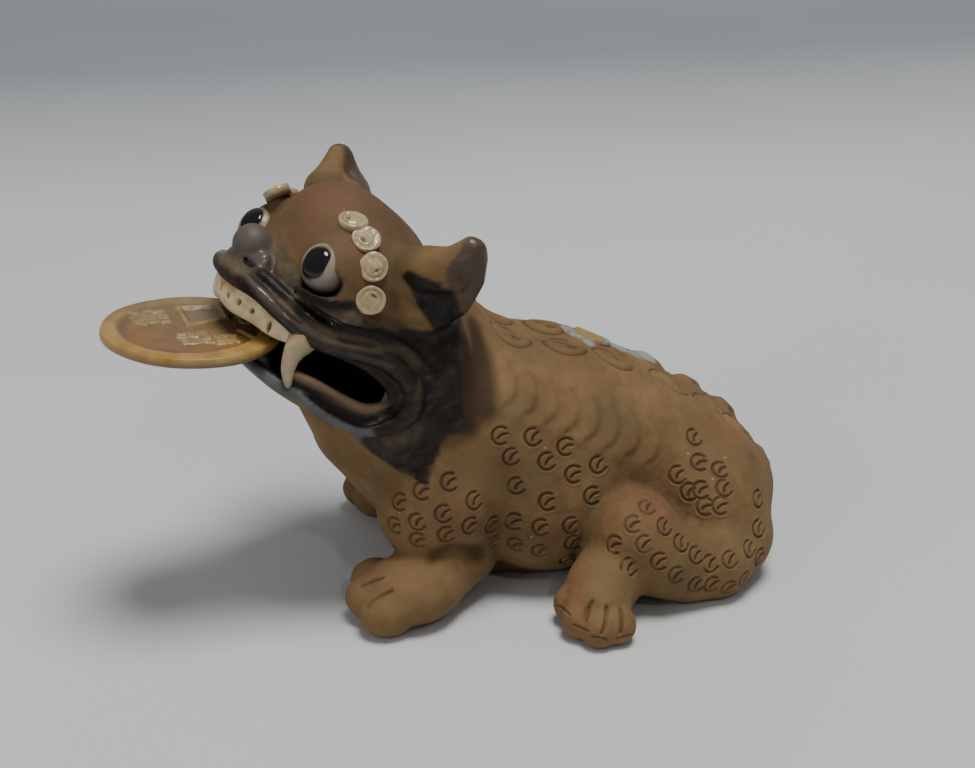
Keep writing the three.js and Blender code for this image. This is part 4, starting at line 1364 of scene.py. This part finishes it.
def coin(material):
    rings, columns = 130, 330
    angle = np.linspace(0, 2 * math.pi, columns, endpoint=False)
    half = COIN_THICK / 2
    wobble = 1 + 0.006 * np.sin(3 * angle + 1) + 0.004 * np.sin(7 * angle)
    wobble /= wobble.max()
    edge = COIN_RADIUS - 0.6
    # The upper face, the round edge, then the flat underside
    rows = [(r, None) for r in np.linspace(0, 1, rings)[1:] * edge]
    turns = np.linspace(0, math.pi, 11)[1:-1]
    rows += [(edge + 0.6 * math.sin(t), (half - 0.25) * math.cos(t)) for t in turns]
    rows += [(edge, -half + 0.15), (COIN_RADIUS - 2, -half), (COIN_RADIUS / 2, -half), (2, -half)]
    radius = np.array([0] + [r for r, _ in rows for _ in angle] + [0])
    spin = np.concatenate([[0], np.tile(angle, len(rows)), [0]])
    bulge = np.concatenate([[1], np.tile(wobble, len(rows)), [1]])
    x, y = radius * np.cos(spin) * bulge, radius * np.sin(spin) * bulge
    z, rim, raised, hollow = coin_face(x, y)
    side = 1 + (rings - 1) * columns
    z[side:-1] = np.repeat([level for _, level in rows[rings - 1:]], columns)
    z[-1] = -half
    raised[side:] = 0
    last = len(x) - 1
    faces = [tuple(1 + i for i in f)[::-1] for f in grid_faces(len(rows), columns)]
    faces += [(0, 1 + c, 1 + (c + 1) % columns) for c in range(columns)]
    faces += [(last, last - columns + (c + 1) % columns, last - columns + c) for c in range(columns)]
    lean_y = -FACE * math.cos(COIN_TILT) - UP * math.sin(COIN_TILT)
    lean_z = UP * math.cos(COIN_TILT) - FACE * math.sin(COIN_TILT)
    points = COIN_MIDDLE + np.stack([x, y, z], 1) @ np.stack([SIDE, lean_y, lean_z])
    marks = {
        "raised": raised,
        "rim": rim,
        "hollow": hollow * (z > 0),
        "inside_rim": bump_at(np.hypot(x - RIM_MIDDLE[0], y - RIM_MIDDLE[1]), RIM_INSIDE - 1.2, 1.1),
        "honey": spots_of(np.stack([x, y], 1), [((12, 5), 5, 0.9), ((4, -13), 6, 0.6), ((15, -3), 5, 0.6)]),
        "far": smooth(-6, -17, x),
        "under": smooth(0.4, -0.9, z),
    }
    return place(mesh_object("coin_disc", points, faces, marks), "coin", material)


# Materials, made of nodes
class Nodes:
    def __init__(self, name):
        self.material = bpy.data.materials.new(name)
        self.material.use_nodes = True
        self.tree = self.material.node_tree
        self.shader = self.tree.nodes["Principled BSDF"]
        self.place = self.add("ShaderNodeTexCoord").outputs["Object"]

    def add(self, kind, inputs=None, **settings):
        node = self.tree.nodes.new(kind)
        for key, value in settings.items():
            setattr(node, key, value)
        for key, value in (inputs or {}).items():
            if isinstance(value, bpy.types.NodeSocket):
                self.tree.links.new(value, node.inputs[key])
            else:
                node.inputs[key].default_value = value
        return node

    def noise(self, size, detail=3.0, roughness=0.55, stretch=None):
        where = self.place
        if stretch:
            where = self.add("ShaderNodeMapping", {"Vector": where, "Scale": stretch}).outputs[0]
        node = self.add("ShaderNodeTexNoise", {"Vector": where, "Scale": 1 / size, "Detail": detail, "Roughness": roughness})
        return node.outputs["Fac"]

    def mask(self, name):
        return self.add("ShaderNodeAttribute", attribute_name=name).outputs["Fac"]

    def ramp(self, value, *stops):
        node = self.add("ShaderNodeValToRGB", {"Fac": value})
        elements = node.color_ramp.elements
        while len(elements) < len(stops):
            elements.new(0.5)
        for element, (spot, level) in zip(elements, stops):
            element.position = spot
            element.color = (*level, 1) if isinstance(level, tuple) else (level, level, level, 1)
        return node.outputs["Color"]

    def mix(self, factor, a, b, blend="MIX"):
        node = self.add("ShaderNodeMix", data_type="RGBA", blend_type=blend)
        for socket, value in ((node.inputs[0], factor), (node.inputs[6], a), (node.inputs[7], b)):
            if isinstance(value, bpy.types.NodeSocket):
                self.tree.links.new(value, socket)
            else:
                socket.default_value = value if isinstance(value, float) else (*value, 1)
        return node.outputs[2]

    def math(self, operation, a, b=0.0):
        node = self.add("ShaderNodeMath", operation=operation)
        for socket, value in zip(node.inputs, (a, b)):
            if isinstance(value, bpy.types.NodeSocket):
                self.tree.links.new(value, socket)
            else:
                socket.default_value = value
        return node.outputs[0]

    def bump(self, height, strength, distance, under=None):
        inputs = {"Height": height, "Strength": strength, "Distance": distance}
        if under:
            inputs["Normal"] = under
        return self.add("ShaderNodeBump", inputs).outputs["Normal"]

    def finish(self, colour, roughness, normal, **values):
        links = self.tree.links
        links.new(colour, self.shader.inputs["Base Color"])
        links.new(roughness, self.shader.inputs["Roughness"])
        links.new(normal, self.shader.inputs["Normal"])
        for key, value in values.items():
            self.shader.inputs[key.replace("_", " ")].default_value = value
        return self.material


CLAY_DARK = (0.115, 0.064, 0.026)
CLAY_MID = (0.195, 0.114, 0.047)
CLAY_LIGHT = (0.262, 0.162, 0.074)
CLAY_OLIVE = (0.152, 0.108, 0.044)
RED_CLAY = (0.230, 0.102, 0.050)
SKULL_SHADE = (0.68, 0.66, 0.76)
CRUMB = (0.50, 0.40, 0.27)
# Dark brown of the painted shade in creases, in grooves, and under the rosette and the jowl
PAINTED_SHADE_BROWN = (0.030, 0.017, 0.009)
GLAZE_BLACK = (0.0095, 0.0062, 0.0048)
GLAZE_DARK = (0.026, 0.0165, 0.0115)
GLAZE_OLIVE = (0.118, 0.088, 0.050)
EAR_BROWN = (0.085, 0.054, 0.036)
NOSE_GREY = (0.100, 0.083, 0.074)
BAND_BLUE = (0.105, 0.115, 0.118)
LIP_TAN = (0.19, 0.125, 0.073)
SLIP_WHITE = (0.29, 0.29, 0.27)
OCHRE = (0.33, 0.20, 0.075)


def bare_clay(n):
    """Brown clay with olive and red clouds, pale crumbs and pits, and painted shade in its creases and grooves."""
    broad = n.noise(0.022, 3)
    fine = n.noise(0.0024, 5, 0.65)
    colour = n.ramp(broad, (0.34, CLAY_DARK), (0.5, CLAY_MID), (0.68, CLAY_LIGHT))
    colour = n.mix(0.35, colour, n.ramp(fine, (0.3, CLAY_DARK), (0.7, CLAY_LIGHT)))
    colour = n.mix(n.ramp(n.noise(0.013, 4), (0.48, 0.0), (0.64, 0.65)), colour, CLAY_OLIVE)
    blush_ = n.math("MULTIPLY", n.mask("blush"), n.ramp(n.noise(0.006, 3), (0.35, 0.1), (0.65, 0.7)))
    colour = n.mix(blush_, colour, RED_CLAY)
    crumbs = n.add("ShaderNodeTexVoronoi", {"Vector": n.place, "Scale": 1 / 0.0034, "Randomness": 1.0})
    crumb = n.ramp(crumbs.outputs["Distance"], (0.0, 1.0), (0.11, 0.0))
    crumb = n.math("MULTIPLY", crumb, n.ramp(n.noise(0.004), (0.58, 0.0), (0.62, 1.0)))
    colour = n.mix(crumb, colour, CRUMB)
    pits = n.ramp(n.noise(0.0011, 2), (0.24, 1.0), (0.3, 0.0))
    colour = n.mix(n.math("MULTIPLY", pits, 0.5), colour, CLAY_DARK)
    # Painted shade over the top of the head, slightly purple
    colour = n.mix(n.mask("skull_shade"), colour, SKULL_SHADE, "MULTIPLY")
    # Painted shade in the creases of the clay
    crease = n.ramp(n.mask("cavity"), (0.2, 0.0), (0.85, 0.65))
    colour = n.mix(crease, colour, PAINTED_SHADE_BROWN)
    # Painted shade in the stamped and pressed grooves
    return n.mix(n.math("MULTIPLY", n.mask("groove"), 0.75), colour, PAINTED_SHADE_BROWN)


def dark_glaze(n):
    """Dark glaze: black in the creases, where it pools and their shade is painted, olive where it is thin, with a few
    painted highlights.
    """
    colour = n.ramp(n.noise(0.004, 4, 0.6), (0.36, GLAZE_BLACK), (0.62, GLAZE_DARK))
    streaks = n.ramp(n.noise(0.0035, 3, 0.6, (1, 1, 2.2)), (0.5, 0.0), (0.75, 0.35))
    # Olive where the glaze is thin, and painted highlights on the ear's rim, the mouth's corner and the jowl
    thin = n.math("MULTIPLY", n.mask("thin"), n.ramp(n.noise(0.0024, 4), (0.3, 0.55), (0.6, 1.0)))
    colour = n.mix(n.math("MAXIMUM", thin, streaks), colour, GLAZE_OLIVE)
    colour = n.mix(n.mask("ear_rim"), colour, EAR_BROWN)
    # Glaze pooled in the clay's creases, with their shade painted in as black
    creased = n.math("MULTIPLY", n.mask("cavity"), n.math("SUBTRACT", 1.0, n.mask("thin")))
    return n.mix(n.math("MAXIMUM", n.mask("thick_glaze_and_shade"), creased), colour, GLAZE_BLACK)


def stoneware():
    """Unglazed brown clay with dark glaze on the face, grey slip and ochre on the back."""
    n = Nodes("stoneware")
    colour = bare_clay(n)
    white = n.math("MULTIPLY", n.mask("slip"), n.ramp(n.noise(0.0035, 4), (0.38, 0.25), (0.5, 1.0)))
    colour = n.mix(white, colour, SLIP_WHITE)
    colour = n.mix(n.mask("ochre"), colour, OCHRE)
    # Painted shade from the shade strokes
    colour = n.mix(n.mask("painted_shade"), colour, PAINTED_SHADE_BROWN)
    glaze = n.mask("glaze")
    colour = n.mix(glaze, colour, dark_glaze(n))
    colour = n.mix(n.mask("nose"), colour, NOSE_GREY)
    band = n.math("MULTIPLY", n.mask("band"), n.ramp(n.noise(0.004, 3), (0.35, 0.6), (0.6, 1.0)))
    colour = n.mix(band, colour, BAND_BLUE)
    colour = n.mix(n.mask("inner_lip"), colour, LIP_TAN)
    # Near black inside the mouth and the nostrils: dark glaze with their shade painted in
    colour = n.mix(n.mask("hollow"), colour, (0.006, 0.004, 0.004))
    matt = n.ramp(n.noise(0.0024, 5, 0.65), (0.3, 0.66), (0.7, 0.86))
    gloss = n.ramp(n.noise(0.003, 4), (0.38, 0.36), (0.62, 0.6))
    gloss = n.mix(n.mask("thin"), gloss, (0.52, 0.52, 0.52))
    gloss = n.mix(n.mask("ear_rim"), gloss, (0.34, 0.34, 0.34))
    roughness = n.mix(glaze, matt, gloss)
    roughness = n.mix(n.mask("nose"), roughness, (0.44, 0.44, 0.44))
    roughness = n.mix(n.mask("hollow"), roughness, (0.95, 0.95, 0.95))
    roughness = n.mix(n.mask("band"), roughness, (0.42, 0.42, 0.42))
    roughness = n.mix(n.mask("inner_lip"), roughness, (0.4, 0.4, 0.4))
    grain = n.math("MULTIPLY", n.noise(0.0007, 4, 0.7), n.math("SUBTRACT", 1.0, glaze))
    normal = n.bump(n.noise(0.0045, 2), 0.5, 0.0003)
    normal = n.bump(grain, 0.7, 0.00016, normal)
    n.tree.links.new(n.mask("wet"), n.shader.inputs["Coat Weight"])
    return n.finish(colour, roughness, normal, Specular_IOR_Level=0.26, Coat_Roughness=0.14)


def bone_glaze(name, base, glossy):
    """Cream glaze on teeth and rosettes, browner where it pools and orange at the gum."""
    n = Nodes(name)
    dull = tuple(c * f for c, f in zip(base, (0.72, 0.68, 0.6)))
    colour = n.ramp(n.noise(0.0022, 4), (0.3, dull), (0.65, base))
    rust = n.math("MULTIPLY", n.mask("tint"), n.ramp(n.noise(0.003, 3), (0.35, 0.35), (0.6, 0.9)))
    colour = n.mix(rust, colour, (0.36, 0.17, 0.062))
    colour = n.mix(n.math("MULTIPLY", n.mask("pool"), 0.9), colour, (0.07, 0.038, 0.018))
    roughness = n.ramp(n.noise(0.002, 3), (0.3, glossy), (0.7, glossy + 0.16))
    return n.finish(colour, roughness, n.bump(n.noise(0.0012, 3), 0.35, 0.0001))


def eye_glaze():
    """Cream ball, greyer below and brown on its side away from the pupil as painted shade, with a black drop edged in
    brown.
    """
    n = Nodes("eye_glaze")
    white = n.ramp(n.noise(0.004, 4), (0.3, (0.26, 0.205, 0.135)), (0.7, (0.37, 0.305, 0.21)))
    # Painted shade below and on the side away from the pupil
    white = n.mix(n.math("MULTIPLY", n.mask("low"), 0.7), white, (0.16, 0.155, 0.145))
    white = n.mix(n.math("MULTIPLY", n.mask("back"), 0.9), white, (0.07, 0.050, 0.030))
    white = n.mix(n.math("MULTIPLY", n.mask("halo"), 0.85), white, (0.07, 0.03, 0.018))
    pupil = n.mask("pupil")
    colour = n.mix(pupil, white, (0.008, 0.006, 0.006))
    roughness = n.mix(pupil, n.ramp(n.noise(0.003), (0.3, 0.3), (0.7, 0.45)), (0.06, 0.06, 0.06))
    return n.finish(colour, roughness, n.bump(n.noise(0.003, 2), 0.15, 0.0001))


def honey_glaze():
    """Glossy honey glaze that breaks cream over raised lines and lies brown in the field."""
    n = Nodes("honey_glaze")
    cloud = n.noise(0.006, 4)
    field = n.ramp(cloud, (0.3, (0.150, 0.084, 0.038)), (0.7, (0.230, 0.138, 0.060)))
    field = n.mix(n.math("MULTIPLY", n.mask("inside_rim"), 0.6), field, (0.12, 0.064, 0.040))
    field = n.mix(n.mask("honey"), field, (0.29, 0.135, 0.030))
    honey = n.ramp(n.noise(0.005, 4), (0.3, (0.30, 0.165, 0.038)), (0.7, (0.42, 0.27, 0.095)))
    colour = n.mix(n.mask("rim"), field, honey)
    colour = n.mix(n.math("MULTIPLY", n.mask("far"), 0.7), colour, (0.185, 0.145, 0.075))
    colour = n.mix(n.math("MULTIPLY", n.mask("hollow"), 0.5), colour, (0.20, 0.135, 0.085))
    cream = n.math("MULTIPLY", n.mask("raised"), n.ramp(n.noise(0.003), (0.3, 0.35), (0.6, 0.85)))
    colour = n.mix(cream, colour, (0.36, 0.25, 0.10))
    colour = n.mix(n.math("MULTIPLY", n.mask("under"), 0.8), colour, (0.13, 0.10, 0.062))
    roughness = n.ramp(n.noise(0.004, 3), (0.3, 0.2), (0.7, 0.42))
    normal = n.bump(n.noise(0.0035, 3), 0.3, 0.0002)
    return n.finish(colour, roughness, normal, Specular_IOR_Level=0.36)


def floor_cloth():
    n = Nodes("floor")
    colour = n.ramp(n.noise(0.2, 2), (0.3, (0.60, 0.61, 0.62)), (0.7, (0.64, 0.65, 0.66)))
    # Painted shade: the cloth darker towards the back, where the backdrop rises
    back = n.math("MULTIPLY", n.add("ShaderNodeSeparateXYZ", {"Vector": n.place}).outputs["X"], -1.0)
    colour = n.mix(n.ramp(back, (0.28, 0.0), (0.52, 1.0)), colour, (0.50, 0.525, 0.55), "MULTIPLY")
    roughness = n.ramp(n.noise(0.05, 2), (0.3, 0.85), (0.7, 0.95))
    return n.finish(colour, roughness, n.bump(n.noise(0.0006, 2), 0.1, 0.0001))


# Stage, light and camera
def stage():
    """A pale floor that curves up into a backdrop behind the figure."""
    profile = [(0.9, 0.0)] + [(-0.62, 0.0)]
    profile += [(-0.62 - 0.25 * math.sin(t), 0.25 - 0.25 * math.cos(t)) for t in np.linspace(0.05, math.pi / 2, 24)]
    profile += [(-0.87, 1.2)]
    away = np.array([VIEW_BACK[0], VIEW_BACK[1], 0]) / np.linalg.norm(VIEW_BACK[:2])
    points = []
    for reach, height in profile:
        for across in (-2.2, 2.2):
            points.append(away * reach + VIEW_RIGHT * across + UP * height)
    faces = [(2 * i, 2 * i + 1, 2 * i + 3, 2 * i + 2) for i in range(len(profile) - 1)]
    mesh = bpy.data.meshes.new("floor")
    mesh.from_pydata([tuple(p) for p in points], [], faces)
    mesh.polygons.foreach_set("use_smooth", [True] * len(mesh.polygons))
    floor = bpy.data.objects.new("floor", mesh)
    bpy.context.scene.collection.objects.link(floor)
    floor.data.materials.append(floor_cloth())


def area_light(name, place_, target, size, power, colour):
    data = bpy.data.lights.new(name, "AREA")
    data.shape = "DISK"
    data.size = size
    data.energy = power
    data.color = colour
    light = bpy.data.objects.new(name, data)
    light.location = place_
    light.rotation_mode = "QUATERNION"
    light.rotation_quaternion = (Vector(target) - Vector(place_)).to_track_quat("-Z", "Y")
    bpy.context.scene.collection.objects.link(light)
    return light


def lights():
    area_light("key", (0.12, 0.16, 1.47), (0, 0, 0.04), 0.62, 18.6, (1.0, 0.99, 0.97))
    fill = area_light("fill", (0.75, -1.1, 0.5), (0, 0, 0.05), 0.8, 4.0, (1.0, 1.0, 1.0))
    fill.visible_glossy = False
    area_light("lamp", (0.75, 0.20, 0.80), (0, 0, 0.06), 0.05, 0.6, (1.0, 1.0, 1.0))
    world = bpy.data.worlds.new("studio")
    world.use_nodes = True
    background = world.node_tree.nodes["Background"]
    background.inputs["Color"].default_value = (0.96, 0.98, 1.0, 1)
    background.inputs["Strength"].default_value = 0.2
    bpy.context.scene.world = world


def camera():
    data = bpy.data.cameras.new("camera")
    data.sensor_width = SENSOR_WIDTH
    data.lens = SENSOR_WIDTH * FOCAL_PIXELS / PHOTO_WIDTH
    data.clip_start = 0.01
    eye_at = bpy.data.objects.new("camera", data)
    turn = Matrix((VIEW_RIGHT, VIEW_UP, VIEW_BACK)).transposed().to_4x4()
    eye_at.matrix_world = Matrix.Translation((CAMERA + SHIFT) * MM) @ turn
    bpy.context.scene.collection.objects.link(eye_at)
    bpy.context.scene.camera = eye_at


clay_body(stoneware())
eyes = eye_glaze()
bone = bone_glaze("rosette_glaze", (0.48, 0.37, 0.21), 0.08)
tooth = bone_glaze("tooth_glaze", (0.85, 0.69, 0.44), 0.34)
tusk = bone_glaze("fang_glaze", (0.42, 0.33, 0.20), 0.34)
for side_name, hand in (("left", 1), ("right", -1)):
    eye(hand, eyes)
    fang(hand, tusk)
    for number, spot in enumerate(ROSETTES[hand]):
        rosette(f"rosette_{side_name}_{number + 1}", spot, ROSETTE_TURNS[number], bone)
teeth(tooth)
coin(honey_glaze())
stage()
lights()
camera()

bpy.context.view_layer.update()
